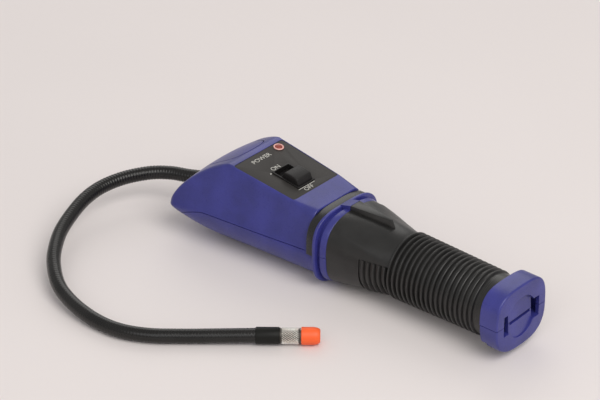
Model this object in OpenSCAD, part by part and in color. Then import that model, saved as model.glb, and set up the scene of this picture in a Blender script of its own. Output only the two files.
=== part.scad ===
// Hand-held refrigerant leak detector with a flexible probe.
// Two case halves, a battery door under the ribbed grip, and a gooseneck that lies on the table.
// Every piece is drawn in stations: x forward from the rear face, z up from the handle axis.

/* [Case] */
// Depth of the case below the handle axis
case_depth = 22.5; // [22:0.1:23]
// Wall of the case halves
wall = 2.4; // [2:0.1:2.8]
// Gap between pieces that slide past each other
slide_gap = 0.3; // [0.25:0.05:0.4]

/* [Batteries] */
// Diameter of one cell
cell_d = 26.2; // [25.6:0.1:26.4]
// Length of one cell
cell_len = 50; // [49:0.5:51]
// Radial room around a cell
cell_gap = 0.4; // [0.3:0.05:0.6]
// Length of the compressed contact spring
spring_len = 4; // [3.5:0.1:5]
// Thickness of the contact plates
plate_t = 0.6; // [0.4:0.1:0.8]

/* [Handle] */
// Thickness of the handle tube around the cells
tube_wall = 3.7; // [3.6:0.1:4]
// Thickness of the rubber at a rib crest
rubber = 1.5; // [1.3:0.1:1.8]
// Height of a rib
rib_h = 0.9; // [0.6:0.1:1.1]
// Distance between ribs
rib_pitch = 3.35; // [3.2:0.05:3.6]
// Number of ribs that go all the way round
rib_count = 18; // [14:1:19]
// Number of short ribs ahead of them
short_rib_count = 5; // [3:1:5]
// Height at which the short ribs stop
short_rib_top = 6; // [4:0.5:8]

/* [End cap] */
// Length of the end cap
cap_len = 12; // [11.5:0.5:14]
// Half width of the end cap
cap_w = 21.6; // [21:0.1:22.5]
// Height of the end cap above the axis
cap_top = 20; // [19.6:0.1:21]
// Depth of the end cap below the axis
cap_bottom = 17.4; // [17.2:0.1:19]
// Width of one strap slot
slot_w = 4.3; // [4.2:0.1:4.8]
// Height of one strap slot
slot_h = 12.6; // [11:0.2:14]
// Distance from the axis to the near edge of a strap slot
slot_y = 10.6; // [10:0.1:11]
// Radius of the round recess in the rear face
recess_r = 12.3; // [11:0.1:12.8]

/* [Collar] */
// Width of the rear collar ring
ring_w = 4.3; // [3.8:0.1:5]
// Width of the collar groove
groove_w = 1.8; // [1.4:0.1:2.2]
// Depth of the collar groove
groove_d = 1.5; // [1:0.1:1.8]
// Width of the collar flange
flange_w = 2; // [1.6:0.1:2.4]
// Half width of the collar flange
flange_half = 27.7; // [27.2:0.1:28.2]
// Width of the black band
band_w = 5.4; // [4.8:0.1:6]
// Thickness of the black band
band_t = 1; // [0.8:0.1:1.2]

/* [Head] */
// Length of the head from the band to the nose
head_len = 98; // [96:1:99]
// Half width at the parting line beside the band
head_w_rear = 26.2; // [25.8:0.1:26.6]
// Half width at the parting line, per millimetre forward
head_flare = 0.1; // [0.09:0.005:0.11]
// Half width at the top crease beside the band
crease_w = 19.8; // [19.4:0.1:20.4]
// Crease half width gained per millimetre forward
crease_flare = 0.03; // [0.02:0.005:0.04]
// Height of the top crease beside the band
crease_z = 22.2; // [22:0.1:22.8]
// Slope of the top face in degrees
top_slope = 7.6; // [7.2:0.1:8]
// Length of the flat top
top_len = 62; // [60:0.5:63]
// Height of the nose tip relative to the handle axis
tip_z = -3.8; // [-4.3:0.1:-3.4]
// Length of the chin that rises to the nose tip
chin_len = 34.5; // [33.5:0.5:36]
// Bulge of the nose front between its sides
nose_crown = 1.9; // [1.5:0.1:2.2]

/* [Label and switch] */
// Distance of the label behind the front of the flat top
label_lip = 3; // [2.5:0.1:4]
// Length of the label
label_len = 44; // [42:0.5:46]
// Thickness of the label plate
label_t = 0.8; // [0.6:0.1:1]
// Switch window length
switch_len = 19; // [18.6:0.1:20]
// Switch window width
switch_w = 12.6; // [12:0.1:13]
// Switch centre behind the front of the flat top
switch_back = 31.5; // [31:0.1:32]
// Switch centre towards the left
switch_y = 2; // [1:0.1:3]
// Travel of the switch knob
switch_travel = 5.5; // [4.5:0.1:5.8]
// Light centre behind the front of the flat top
led_back = 7; // [6.8:0.1:7.2]
// Light centre towards the right
led_y = 13.2; // [12.8:0.1:13.4]
// Diameter of the ring around the light
led_ring_d = 6.2; // [6:0.1:6.4]
// Diameter of the lens
led_d = 4.2; // [4:0.1:4.3]

/* [Probe] */
// Diameter of the gooseneck
neck_d = 8.2; // [7.8:0.1:8.3]
// Height of the gooseneck outlet relative to the handle axis
neck_z = -2; // [-2.2:0.1:-1.8]
// Length of the shrink sleeve
sleeve_len = 13; // [12:0.5:15]
// Diameter of the shrink sleeve
sleeve_d = 9.5; // [9.2:0.1:9.6]
// Length of the ferrule
ferrule_len = 11.4; // [10.5:0.1:12]
// Diameter of the ferrule
ferrule_d = 9; // [8.8:0.1:9.2]
// Length of the tip protector
protector_len = 10.7; // [10.4:0.1:11.5]
// Diameter of the tip protector
protector_d = 9.8; // [9.6:0.1:9.9]
// Diameter of the sensing tip inside the protector
sensor_d = 6.2; // [5.8:0.1:6.4]

/* [Pump] */
// Diameter of the pump motor
motor_d = 24; // [22:0.5:24]
// Length of the pump motor
motor_len = 30; // [28:0.5:31]
// Diameter of the pump housing
pump_d = 29; // [28:0.5:29.5]
// Depth of the pump housing
pump_len = 16; // [15:0.5:16.5]
// Wall of the pump housing
pump_wall = 2; // [1.8:0.1:2.2]
// Diameter of the impeller
impeller_d = 22; // [20:0.5:22.5]
// Diameter of the motor shaft
shaft_d = 2; // [1.8:0.1:2.2]

/* [Hidden] */
$fn = 64;

// Colours
BLUE = [0.24, 0.24, 0.56];
BLACK = [0.13, 0.13, 0.13];
GREY = [0.30, 0.29, 0.28];
STEEL = [0.72, 0.72, 0.74];
BOARD = [0.10, 0.36, 0.18];
ORANGE = [0.95, 0.36, 0.12];
EPS = 0.01;
FAR = 400;

// Radii and stations of the handle
bay_r = cell_d / 2 + cell_gap;
tube_r = bay_r + tube_wall;
grip_r = tube_r + rubber;
rib_valley_r = grip_r - rib_h;
grip_len = 2 * cell_len + spring_len + 2 * plate_t + 0.3;
collar_u = cap_len + grip_len;
groove_u = collar_u + ring_w;
flange_u = groove_u + groove_w;
band_u = flange_u + flange_w;
head_u = band_u + band_w;
nose_u = head_u + head_len;
body_len = nose_u;
bulkhead_t = 2;
bulkhead_u = collar_u + bulkhead_t;
door_len = collar_u - slide_gap;

// Full ribs start behind a plain band, short ribs follow ahead of them
rib_u = cap_len + 7;
rib_top_w = 1;
rib_base_w = 2.2;
ribs_end = rib_u + rib_count * rib_pitch;

// Rail of the battery door, an inward hook on each side of the case
rail_y = tube_r - 1.9;
rail_t = 0.8;
rail_foot = 1;
rail_drop = 3.6;
rail_foot_t = 1;
rail_gap = 0.25;

// Head
top_u = head_u + top_len;
top_rise = tan(top_slope);
nose_tuck = 3.8;
nose_tuck_len = 12;
label_rear = top_len - label_lip - label_len;
label_front = top_len - label_lip;
switch_x = (top_len - switch_back) / cos(top_slope);
led_x = (top_len - led_back) / cos(top_slope);
knob_len = switch_len - switch_travel - 2 * slide_gap;
board_z = -10.6;
board_t = 1.6;
board_front = top_len + 3;
board_rear = 5;
board_w = 35;
buzzer_d = 18;
buzzer_h = 6.5;
buzzer_back = 10;
buzzer_y = 5.5;
post_x = [10, top_len - 1];
post_y = 14;
post_d = 5.5;
inner_r = 18;

// Pump train on the outlet axis
motor_u = head_u + 6;
pump_u = motor_u + motor_len;
cover_u = pump_u + pump_len;
cover_t = 2;
nipple_d = 6;
nipple_len = 7;
air_bore = 3.6;
seat_u = nose_u - 8;
flange_seat_u = nose_u - 1.8;
gland_flange_d = 14;
gland_flange_t = 3.2;
gland_d = 10;
gland_tail = 8;
neck_u = flange_seat_u + gland_flange_t;
nut_t = 3.5;
nut_d = 13;

// Case screws, as pairs of station and side distance
screw_d = 3;
screw_head_d = 5.6;
screw_head_t = 2.2;
screw_seat = -12;
screw_top = 5;
boss_d = 7;
screw_at = [[head_u + 9, 18.5], [nose_u - 34, 22.5]];

// Gooseneck, as hand-chosen route points on the table around the head: x, y and height above the table
tip_h = protector_d / 2 + 0.1;
lie_h = neck_d / 2 + 0.1;
tip_dir = [-0.764, -0.646, 0];
tip_turn = atan2(tip_dir[1], tip_dir[0]);
tip_start = [113, 88.3, tip_h - case_depth];
neck_route = [
  [neck_u, 0, case_depth + neck_z],
  [241, 4, 19.6],
  [251.5, 8, 19.3],
  [261, 16, 19.2],
  [268.5, 30, 19],
  [272, 45, 18.2],
  [271, 60, 17],
  [266.5, 76, 15],
  [259.5, 92, 13],
  [249, 107, 11],
  [239.5, 116.5, 9.3],
  [228.5, 124.5, 7.7],
  [217, 129.5, 6.3],
  [202, 133, 5.1],
  [186.5, 134, lie_h],
  [171.5, 132, lie_h],
  [157, 125, lie_h],
  [143, 113.7, lie_h],
  [130, 102.7, lie_h + 0.3],
  tip_start + [0, 0, case_depth]
];
neck_sides = 10;
neck_steps = 2;

// Numbers of points round a section
seg = 48;
low_seg = 10;
low_square = 2.1;
corner_seg = 4;
crown_seg = 3;

// Helpers
function mix(a, b, t) = a + (b - a) * t;
function bezier(p, t) =
  pow(1 - t, 3) * p[0] + 3 * t * pow(1 - t, 2) * p[1] + 3 * t * t * (1 - t) * p[2] + pow(t, 3) * p[3];
function curve(p, n) = [for (i = [0:n]) bezier(p, i / n)];
function unit(v) = v / norm(v);

// Superellipse ring at one station, with its own upper and lower height and squareness
function ring(u, a, up, down, nu, nl) = [
  for (k = [0:seg - 1])
    let (t = -90 + 360 * k / seg, c = cos(t), s = sin(t))
    let (n = s > 0 ? nu : nl, h = s > 0 ? up : down)
    [u, a * sign(c) * pow(abs(c), 2 / n), max(-case_depth, h * sign(s) * pow(abs(s), 2 / n))]
];

// Head section: round below, drafted side and a crease above, moved in by t
function nose_part(u) = max(0, min(1, (u - top_u) / (nose_u - top_u)));
function chin_part(u) = max(0, min(1, (u - nose_u + chin_len) / chin_len));
function side_w(u) =
  head_w_rear + head_flare * (u - head_u)
  - nose_tuck * pow(max(0, (u - nose_u + nose_tuck_len) / nose_tuck_len), 5);
function crease_half(u) = crease_w + crease_flare * (u - head_u);
function crease_height(u) = crease_z + top_rise * (u - head_u);
function top_z(u) =
  u <= top_u ? crease_height(u) :
  tip_z + (crease_height(top_u) - tip_z) * pow(1 - pow(nose_part(u), 1.25), 0.6);
function bottom_z(u) = -case_depth + (case_depth + tip_z) * (1 - pow(1 - pow(chin_part(u), 2.17), 0.78));
function crease_round(u) = mix(5, 1.6, min(1, (u - head_u) / 14)) + 1.6 * min(1, 4 * nose_part(u));
function crown(u) = nose_crown * sin(180 * pow(nose_part(u), 1.6));
function head_half(u, t) =
  let (zt = top_z(u) - t, zb = bottom_z(u) + t, zm = min(0, zt - 0.55 * (zt - zb)))
  let (a = side_w(u) - t, draft = (side_w(u) - crease_half(u)) / crease_height(u))
  let (yc = a - draft * (zt - zm), r = min(crease_round(u), 0.45 * (zt - zm)), d = unit([a - yc, zm - zt]))
  let (p0 = [yc, zt] + r * d, p1 = [yc, zt], p2 = [yc - r, zt])
  concat(
    [for (k = [0:low_seg])
      let (q = -90 + 90 * k / low_seg)
      [a * pow(cos(q), 2 / low_square), max(zb, zm + (zb - zm - 0.4) * pow(abs(sin(q)), 2 / low_square))]],
    [for (k = [0:corner_seg])
      let (s = k / corner_seg)
      pow(1 - s, 2) * p0 + 2 * s * (1 - s) * p1 + s * s * p2],
    [for (k = [1:crown_seg])
      let (s = 1 - k / crown_seg)
      [s * p2[0], zt + crown(u) * (1 - s * s)]]
  );
function head_ring(u, t) =
  let (h = head_half(u + 1.2 * t * max(0, min(1, (u - top_u + 10) / 10)), t), n = len(h))
  concat(
    [for (i = [0:n - 1]) [u, h[i][0], h[i][1]]],
    [for (i = [n - 2:-1:1]) [u, -h[i][0], h[i][1]]]
  );

// Solid through a list of rings with equal point counts, closed by fans round the end centres
function centre(r) = [for (k = [0:2]) [for (p = r) p[k]] * [for (p = r) 1 / len(r)]];
module loft(rings) {
  n = len(rings[0]);
  m = len(rings);
  points = concat([for (r = rings) each r], [centre(rings[0]), centre(rings[m - 1])]);
  sides = [
    for (i = [0:m - 2], j = [0:n - 1])
      let (a = i * n + j, b = i * n + (j + 1) % n)
      each [[a, a + n, b + n], [a, b + n, b]]
  ];
  rear = [for (j = [0:n - 1]) [m * n, j, (j + 1) % n]];
  front = [for (j = [0:n - 1]) [m * n + 1, (m - 1) * n + (j + 1) % n, (m - 1) * n + j]];
  polyhedron(points, concat(sides, rear, front));
}

// Prism across the body from a side view outline of x and z
module side_prism(outline, width = 120) {
  rotate([90, 0, 0]) linear_extrude(width, center = true) polygon(outline);
}

// Cylinder along the body from station u, at height z
module along(u, length, d, z = 0, y = 0) {
  translate([u, y, z]) rotate([0, 90, 0]) cylinder(h = length, d = d);
}

// The whole part stands with its handle axis above the table, centred along its length
module placed() {
  translate([-body_len / 2, 0, case_depth]) children();
}

// Frame on the flat top: x up the slope, z out of the face
module on_top() {
  translate([head_u, 0, crease_z]) rotate([0, -top_slope, 0]) children();
}

// Frame at the probe tip: x along the tip
module at_tip() {
  translate(tip_start) rotate([0, 0, tip_turn]) children();
}

// Half spaces of the handle and case
module above() {
  translate([-FAR / 2, -FAR / 2, 0]) cube(FAR);
}
module below(gap = 0) {
  translate([-FAR / 2, -FAR / 2, -FAR - gap]) cube(FAR);
}

// Everything above the parting line, which dips under the nose
function parting_line() = [
  [-10, 0], [nose_u - 27, 0], [nose_u - 23.5, -0.5], [nose_u - 19, -1.9], [nose_u - 15, -3.4],
  [nose_u - 10.5, -5.6], [nose_u - 7, -13.2], [nose_u + 20, -13.2]
];
module upper_region() {
  side_prism(concat(parting_line(), [[nose_u + 20, 80], [-10, 80]]), 200);
}
module lower_region() {
  side_prism(concat(parting_line(), [[nose_u + 20, -80], [-10, -80]]), 200);
}

// Head stations, closer together round the nose; a hollow stops short of the tip
nose_steps = [0, 0.08, 0.2, 0.35, 0.5, 0.63, 0.74, 0.83, 0.9, 0.95, 0.98, 0.995];
hollow_end = 0.9;
module head_solid(t = 0, from = head_u) {
  front = nose_u - 1.2 * t;
  rear = [from + t, head_u + 4, head_u + 9, head_u + 14, head_u + 32];
  nose = [for (w = nose_steps) if (t == 0 || w <= hollow_end) mix(top_u, front, w)];
  loft([for (u = concat(rear, nose)) head_ring(u, t)]);
}

// Collar with the core that carries the band, which ends inside the head
module collar_solid() {
  core_half = head_w_rear - band_t;
  core_top = crease_z - 0.3 - band_t;
  core_low = case_depth - 2;
  taper = 2.2;
  loft([
    ring(collar_u, 25, 21.5, 21.4, 2.7, 2.8),
    ring(groove_u, 25.8, 21.9, 21.7, 2.9, 2.8),
    ring(groove_u, 25.6 - groove_d, 21.9 - groove_d, 21.7 - groove_d, 2.9, 2.8),
    ring(flange_u, 25.6 - groove_d, 21.9 - groove_d, 21.7 - groove_d, 3, 2.8),
    ring(flange_u, flange_half - 0.5, crease_z, case_depth, 3.4, 3),
    ring(flange_u + 0.5, flange_half, crease_z + 0.3, case_depth + 0.3, 3.4, 3),
    ring(band_u - 0.5, flange_half, crease_z + 0.3, case_depth + 0.3, 3.4, 3),
    ring(band_u, flange_half - 0.5, crease_z, case_depth, 3.4, 3),
    ring(band_u, core_half, core_top, core_low, 3.6, low_square),
    ring(head_u + 1, core_half - taper, core_top - taper, core_low - taper, 3.6, low_square)
  ]);
}

// Tongue and thumb wedge at the collar, and the lower front of the tongue
tongue_z = 24.8;
tongue_front_z = 22.9;
tongue_half = 4.1;

// Blue tongue that bridges the groove at the top and runs into the thumb wedge
module collar_tongue() {
  loft([
    wedge_ring(collar_u, tongue_half, tongue_z),
    wedge_ring(flange_u + 1, tongue_half, tongue_front_z)
  ]);
}

// Hollow of the head and collar
module head_hollow() {
  head_solid(wall);
  along(bulkhead_u, head_u + wall + 2 - bulkhead_u, 2 * inner_r, -0.5);
}

// Rounded end cap outline lofted along its length
module cap_solid(length) {
  loft([
    ring(0, cap_w - 0.9, cap_top - 0.9, cap_bottom - 0.9, 3.3, 3),
    ring(0.4, cap_w - 0.25, cap_top - 0.25, cap_bottom - 0.25, 3.3, 3),
    ring(1.2, cap_w, cap_top, cap_bottom, 3.3, 3),
    ring(length, cap_w, cap_top, cap_bottom, 3.3, 3)
  ]);
}

// Strap slots with the tunnel behind the bar, and the round recess
strap_bar = 3.2;
tunnel_d = 4.4;
module strap_cut() {
  along(-EPS, 0.8 + EPS, 2 * recess_r);
  for (s = [-1, 1])
    translate([-1, s * (slot_y + slot_w / 2) - slot_w / 2, -slot_h / 2])
      cube([strap_bar + tunnel_d + 1, slot_w, slot_h]);
  translate([strap_bar, -slot_y - EPS, -slot_h / 2]) cube([tunnel_d, 2 * slot_y + 2 * EPS, slot_h]);
}

// Inward hook rail for the battery door, grown by g for its slot
module door_rails(g = 0) {
  u0 = cap_len + 1 - 4 * g;
  u1 = collar_u - 1 + 8 * g;
  for (s = [0, 1]) mirror([0, s, 0]) {
    translate([u0, rail_y - g, -rail_drop - g])
      cube([u1 - u0, rail_t + 2 * g, rail_drop + g + (g > 0 ? 1 : 0)]);
    translate([u0, rail_y - rail_foot - g, -rail_drop - g])
      cube([u1 - u0, rail_t + rail_foot + 2 * g, rail_foot_t + 2 * g]);
  }
}

// Half tube of the handle
module handle_tube(u0, u1) {
  difference() {
    along(u0, u1 - u0, 2 * tube_r);
    along(u0 - 1, u1 - u0 + 2, 2 * bay_r);
  }
}

// Upper case half: cap top, handle tube top, collar top and head top with the nose
module upper_case() {
  color(BLUE) placed() {
    difference() {
      union() {
        difference() {
          intersection() {
            union() {
              collar_solid();
              head_solid();
              collar_tongue();
            }
            upper_region();
          }
          difference() {
            head_hollow();
            along(seat_u, 20, gland_flange_d + 3, neck_z);
          }
        }
        intersection() {
          union() {
            handle_tube(cap_len - EPS, collar_u + EPS);
            difference() {
              cap_solid(cap_len);
              strap_cut();
            }
          }
          above();
        }
        door_rails();
        case_bosses_upper();
        on_top() board_posts();
      }
      on_top() top_openings();
      along(seat_u - 5, 30, gland_d, neck_z);
      along(flange_seat_u, 20, gland_flange_d + 0.4, neck_z);
      along(seat_u - nut_t - 0.5, nut_t + 0.5, nut_d + 1, neck_z);
      case_screw_holes();
    }
  }
}

// Openings in the flat top: label pocket, switch window and light
module label_plate(t) {
  y0 = crease_half(head_u + label_rear) - 1.3;
  y1 = crease_half(head_u + label_front) - 1.1;
  c = cos(top_slope);
  translate([0, 0, -label_t]) linear_extrude(label_t + t)
    polygon([[label_rear / c, -y0], [label_front / c, -y1], [label_front / c, y1], [label_rear / c, y0]]);
}
module switch_window() {
  translate([switch_x - switch_len / 2, switch_y - switch_w / 2, -wall - 2])
    cube([switch_len, switch_w, wall + 6]);
}
module top_openings() {
  label_plate(2);
  switch_window();
  translate([led_x, -led_y, -wall - 2]) cylinder(h = wall + 6, d = led_ring_d - 0.8);
  for (x = post_x, y = [-post_y, post_y])
    translate([x, y, board_z - 1]) cylinder(h = 7, d = 2);
}

// Posts under the top that carry the circuit board
module board_posts() {
  for (x = post_x, y = [-post_y, post_y])
    translate([x, y, board_z]) cylinder(h = -board_z - wall / 2, d = post_d);
}

// Screw bosses of both halves
module case_bosses_upper() {
  for (p = screw_at, s = [-1, 1])
    translate([p[0], s * p[1], 0]) cylinder(h = screw_top + 4, d = boss_d);
  for (p = screw_at, s = [-1, 1])
    translate([p[0] - 1, min(s * p[1], s * (side_w(p[0]) - 4)), 1])
      cube([2, side_w(p[0]) - 4 - p[1] + EPS, screw_top + 2]);
}
module case_bosses_lower() {
  for (p = screw_at, s = [-1, 1])
    translate([p[0], s * p[1], -18]) cylinder(h = 18, d = boss_d + 2);
}
module case_screw_holes() {
  for (p = screw_at, s = [-1, 1])
    translate([p[0], s * p[1], screw_seat - 1]) cylinder(h = screw_top - screw_seat + 2, d = screw_d);
}

// Lower case half: collar bottom and head bottom
module lower_case() {
  color(BLUE) placed() {
    difference() {
      union() {
        difference() {
          intersection() {
            union() {
              collar_solid();
              head_solid(0, band_u - 0.5);
            }
            lower_region();
          }
          head_hollow();
        }
        intersection() {
          union() {
            case_bosses_lower();
            pump_cradles();
          }
          head_solid(wall / 2);
          lower_region();
        }
      }
      for (p = screw_at, s = [-1, 1]) translate([p[0], s * p[1], 0]) {
        translate([0, 0, -40]) cylinder(h = 40 + screw_seat, d = screw_head_d + 0.8);
        translate([0, 0, -30]) cylinder(h = 40, d = screw_d + 0.4);
      }
      along(motor_u - 5, motor_len + 5, motor_d, neck_z);
      along(pump_u, pump_len + cover_t, pump_d, neck_z);
      band_notches();
    }
  }
}

// Notches in the lower half for the two ends of the band
module band_notches() {
  for (s = [0, 1]) mirror([0, s, 0])
    translate([band_u, head_w_rear - band_t - 0.2, band_low]) cube([band_w, 5, 5]);
}

// Saddles that hold the motor and the pump
module pump_cradles() {
  for (u = [motor_u + 4, motor_u + motor_len - 6])
    translate([u, -10, -case_depth]) cube([2, 20, case_depth + neck_z - 5]);
  translate([pump_u + pump_len / 2 - 1, -10, -case_depth]) cube([2, 20, case_depth + neck_z - 7]);
}

// Band round the upper collar, ending just under the parting line
band_low = -1.6;
module collar_band_shape() {
  a = head_w_rear;
  top = crease_z - 0.3;
  intersection() {
    difference() {
      loft([for (u = [band_u, head_u]) ring(u, a, top, case_depth - 0.1, 3.6, low_square)]);
      loft([for (u = [band_u - 1, head_u + 1])
        ring(u, a - band_t, top - band_t, case_depth - 0.1 - band_t, 3.6, low_square)]);
    }
    translate([band_u, -50, band_low]) cube([band_w, 100, 60]);
  }
}
module collar_band() {
  color(BLACK) placed() collar_band_shape();
}

// Battery door: lower half of the end cap and of the handle tube
module battery_door() {
  color(BLUE) placed() intersection() {
    difference() {
      union() {
        difference() {
          cap_solid(cap_len - slide_gap);
          strap_cut();
          translate([cap_len - 4.5, -13, -30]) cube([20, 26, 30 - cap_bottom + 3.6]);
        }
        handle_tube(cap_len - slide_gap - EPS, door_len);
      }
      door_rails(rail_gap);
    }
    below(slide_gap);
  }
}

// Outside of the rubber grip: plain band, full ribs, then a flare that meets the collar
function flare_ring(u, grow = 0) =
  let (t = max(0, min(1, (u - ribs_end) / (collar_u - ribs_end))), e = pow(t, 1.15))
  let (a = mix(rib_valley_r, 24.7, e), up = mix(rib_valley_r, 21.4, e), down = mix(rib_valley_r, 21.3, e))
  let (scoop = 0.03 * sin(180 * min(1, max(0, (t - 0.05) / 0.9))))
  [for (k = [0:seg - 1])
    let (q = -90 + 360 * k / seg, c = cos(q), s = sin(q), h = s > 0 ? up : down)
    let (n = mix(2, s > 0 ? 2.7 : 2.8, e))
    let (y = a * sign(c) * pow(abs(c), 2 / n), z = h * sign(s) * pow(abs(s), 2 / n))
    let (lean = atan2(z, abs(y)), f = 1 - scoop * exp(-pow((lean - 58) / 14, 2)), r = norm([y, z]))
    [u, y * (f + grow / r), z * (f + grow / r)]];
function flare_stations() = [
  for (i = [0:8]) mix(ribs_end - 1, collar_u, i / 8)
];
module grip_ribs() {
  inner = tube_r - 1;
  plain_r = rib_valley_r + 0.4;
  outline = concat(
    [[cap_len, inner], [cap_len, plain_r], [rib_u - 1.4, plain_r], [rib_u - 1.4, rib_valley_r]],
    [for (i = [0:rib_count - 1])
      let (u = rib_u + (i + 0.5) * rib_pitch)
      each [[u - rib_base_w / 2, rib_valley_r], [u - rib_top_w / 2, grip_r],
            [u + rib_top_w / 2, grip_r], [u + rib_base_w / 2, rib_valley_r]]],
    [[ribs_end + 0.5, rib_valley_r], [ribs_end + 0.5, inner]]
  );
  rotate([0, 90, 0]) rotate_extrude() polygon([for (p = outline) [p[1], p[0]]]);
}
module short_ribs() {
  intersection() {
    union() {
      for (i = [0:short_rib_count - 1]) {
        u = ribs_end + (i + 0.5) * rib_pitch;
        loft([
          flare_ring(u - rib_base_w / 2, -0.1), flare_ring(u - rib_top_w / 2, rib_h * 0.8),
          flare_ring(u + rib_top_w / 2, rib_h * 0.8), flare_ring(u + rib_base_w / 2, -0.1)
        ]);
      }
    }
    below(-short_rib_top);
  }
}
module thumb_wedge() {
  u0 = collar_u - 26.5;
  tip_half = 0.9;
  tip_top = grip_r + 3.5;
  loft([
    wedge_ring(u0 - 1.2, tip_half, tip_top - 2.2),
    wedge_ring(u0, tip_half, tip_top),
    wedge_ring(collar_u, tongue_half, tongue_z)
  ]);
}
function wedge_ring(u, half, top) = [
  [u, -half - 0.8, 14], [u, half + 0.8, 14], [u, half, top], [u, -half, top]
];
module grip_solid() {
  difference() {
    union() {
      grip_ribs();
      loft([for (u = flare_stations()) flare_ring(u)]);
      short_ribs();
      thumb_wedge();
    }
    along(cap_len - 1, collar_u - cap_len + 2, 2 * tube_r);
  }
}
module upper_grip() {
  color(BLACK) placed() intersection() {
    grip_solid();
    above();
  }
}
module lower_grip() {
  color(BLACK) placed() intersection() {
    grip_solid();
    below(slide_gap);
    translate([0, -50, -60]) cube([door_len, 100, 60]);
  }
}

// Label plate let into the flat top
module label_panel() {
  color(GREY) placed() on_top() difference() {
    label_plate(0);
    switch_window();
    translate([led_x, -led_y, -wall - 2]) cylinder(h = wall + 6, d = led_ring_d - 0.8);
  }
}

// Ring and lens of the power light
module led_bezel() {
  color([0.85, 0.68, 0.66]) placed() on_top() translate([led_x, -led_y, 0]) difference() {
    union() {
      translate([0, 0, -wall - 1]) cylinder(h = wall + 1.2, d = led_ring_d - 0.8);
      cylinder(h = 0.6, d = led_ring_d);
    }
    translate([0, 0, -wall - 2]) cylinder(h = wall + 4, d = led_d);
  }
}
module led_lens() {
  color([0.62, 0.28, 0.20]) placed() on_top() translate([led_x, -led_y, 0]) {
    translate([0, 0, board_z]) cylinder(h = -board_z + 0.5, d = led_d);
    translate([0, 0, 0.5]) intersection() {
      translate([0, 0, -2.2]) sphere(d = 2 * norm([led_d / 2, 2.2]));
      cylinder(h = 3, d = led_d);
    }
  }
}

// Slide switch: thumb knob, and the body on the board under the window
module switch_knob() {
  knob_w = switch_w - 2 * slide_gap;
  x0 = switch_x - switch_len / 2 + slide_gap;
  color(BLACK) placed() on_top() {
    translate([x0, switch_y - knob_w / 2, 0.3 - wall]) cube([knob_len, knob_w, wall + 0.3]);
    difference() {
      translate([x0, switch_y + knob_w / 2, 0.6]) rotate([90, 0, 0]) linear_extrude(knob_w)
        polygon([[0, -0.4], [1.6, 3], [knob_len - 1.6, 3], [knob_len, -0.4]]);
      translate([x0 + knob_len / 2, switch_y - knob_w, 0.6 + 9.6]) rotate([-90, 0, 0])
        cylinder(h = 2 * knob_w, r = 8);
    }
    translate([x0 + knob_len / 2 - 1.5, switch_y - 2, 0.5 - wall - 4]) cube([3, 4, 4]);
  }
}
module switch_body() {
  body_l = switch_len + 4;
  body_w = switch_w + 3;
  body_top = -wall - 0.4;
  stem_x = switch_x - switch_len / 2 + slide_gap + knob_len / 2;
  color(BLACK) placed() on_top() difference() {
    translate([switch_x - body_l / 2, switch_y - body_w / 2, board_z])
      cube([body_l, body_w, body_top - board_z]);
    translate([stem_x - 1.5 - slide_gap, switch_y - 2 - slide_gap, body_top - 4.2])
      cube([3 + switch_travel + 2 * slide_gap, 4 + 2 * slide_gap, 6]);
  }
}

// Circuit board with its screws, buzzer and voltage module
module circuit_board() {
  color(BOARD) placed() on_top() difference() {
    translate([board_rear, -board_w / 2, board_z - board_t])
      cube([board_front - board_rear, board_w, board_t]);
    for (x = post_x, y = [-post_y, post_y])
      translate([x, y, board_z - board_t - 1]) cylinder(h = board_t + 2, d = 2.6);
  }
}
module board_screws() {
  color(STEEL) placed() on_top()
    for (x = post_x, y = [-post_y, post_y]) translate([x, y, board_z - board_t]) {
      difference() {
        translate([0, 0, -1.6]) cylinder(h = 1.6, d = 4.4);
        translate([-3, -0.35, -1.7]) cube([6, 0.7, 0.9]);
      }
      translate([0, 0, -EPS]) cylinder(h = board_t + 4, d = 2);
    }
}
module buzzer() {
  color(BLACK) placed() on_top() translate([top_len - buzzer_back, buzzer_y, board_z]) difference() {
    cylinder(h = buzzer_h, d = buzzer_d);
    translate([0, 0, 2]) cylinder(h = buzzer_h, d = 3);
  }
}
module voltage_module() {
  color([0.16, 0.15, 0.14]) placed() on_top()
    translate([board_front - 12, -9, board_z - board_t - 9]) cube([11, 18, 9]);
}

// Air pump: motor, housing, cover with inlet, impeller and shaft
module pump_motor() {
  color(STEEL) placed() difference() {
    union() {
      along(motor_u, motor_len, motor_d, neck_z);
      along(motor_u - 2, 3, 8, neck_z);
    }
    along(pump_u - 10, 11, shaft_d + 2 * slide_gap, neck_z);
  }
}
module pump_housing() {
  color(GREY) placed() difference() {
    along(pump_u, pump_len, pump_d, neck_z);
    along(pump_u + pump_wall, pump_len, pump_d - 2 * pump_wall, neck_z);
    along(pump_u - 1, pump_len, shaft_d + 2, neck_z);
    translate([pump_u + pump_len / 2, 0, neck_z]) rotate([90, 0, 0]) cylinder(h = 30, d = 4);
  }
}
module pump_cover() {
  color(GREY) placed() difference() {
    union() {
      along(cover_u, cover_t, pump_d, neck_z);
      along(cover_u + cover_t - EPS, nipple_len, nipple_d, neck_z);
    }
    along(cover_u - 1, nipple_len + 5, air_bore, neck_z);
  }
}
module pump_impeller() {
  u0 = pump_u + pump_wall + 1.2;
  blade_w = pump_len - pump_wall - 5;
  color([0.85, 0.84, 0.80]) placed() difference() {
    union() {
      along(u0, 1.4, impeller_d, neck_z);
      along(u0, blade_w, 7, neck_z);
      for (k = [0:5]) translate([u0, 0, neck_z]) rotate([60 * k, 0, 0])
        translate([0, 2.8, -0.6]) cube([blade_w, impeller_d / 2 - 3.3, 1.2]);
    }
    along(u0 - 1, blade_w + 3, shaft_d, neck_z);
  }
}
module motor_shaft() {
  color(STEEL) placed() along(pump_u - 9, 9 + pump_len - 4, shaft_d, neck_z);
}

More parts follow.
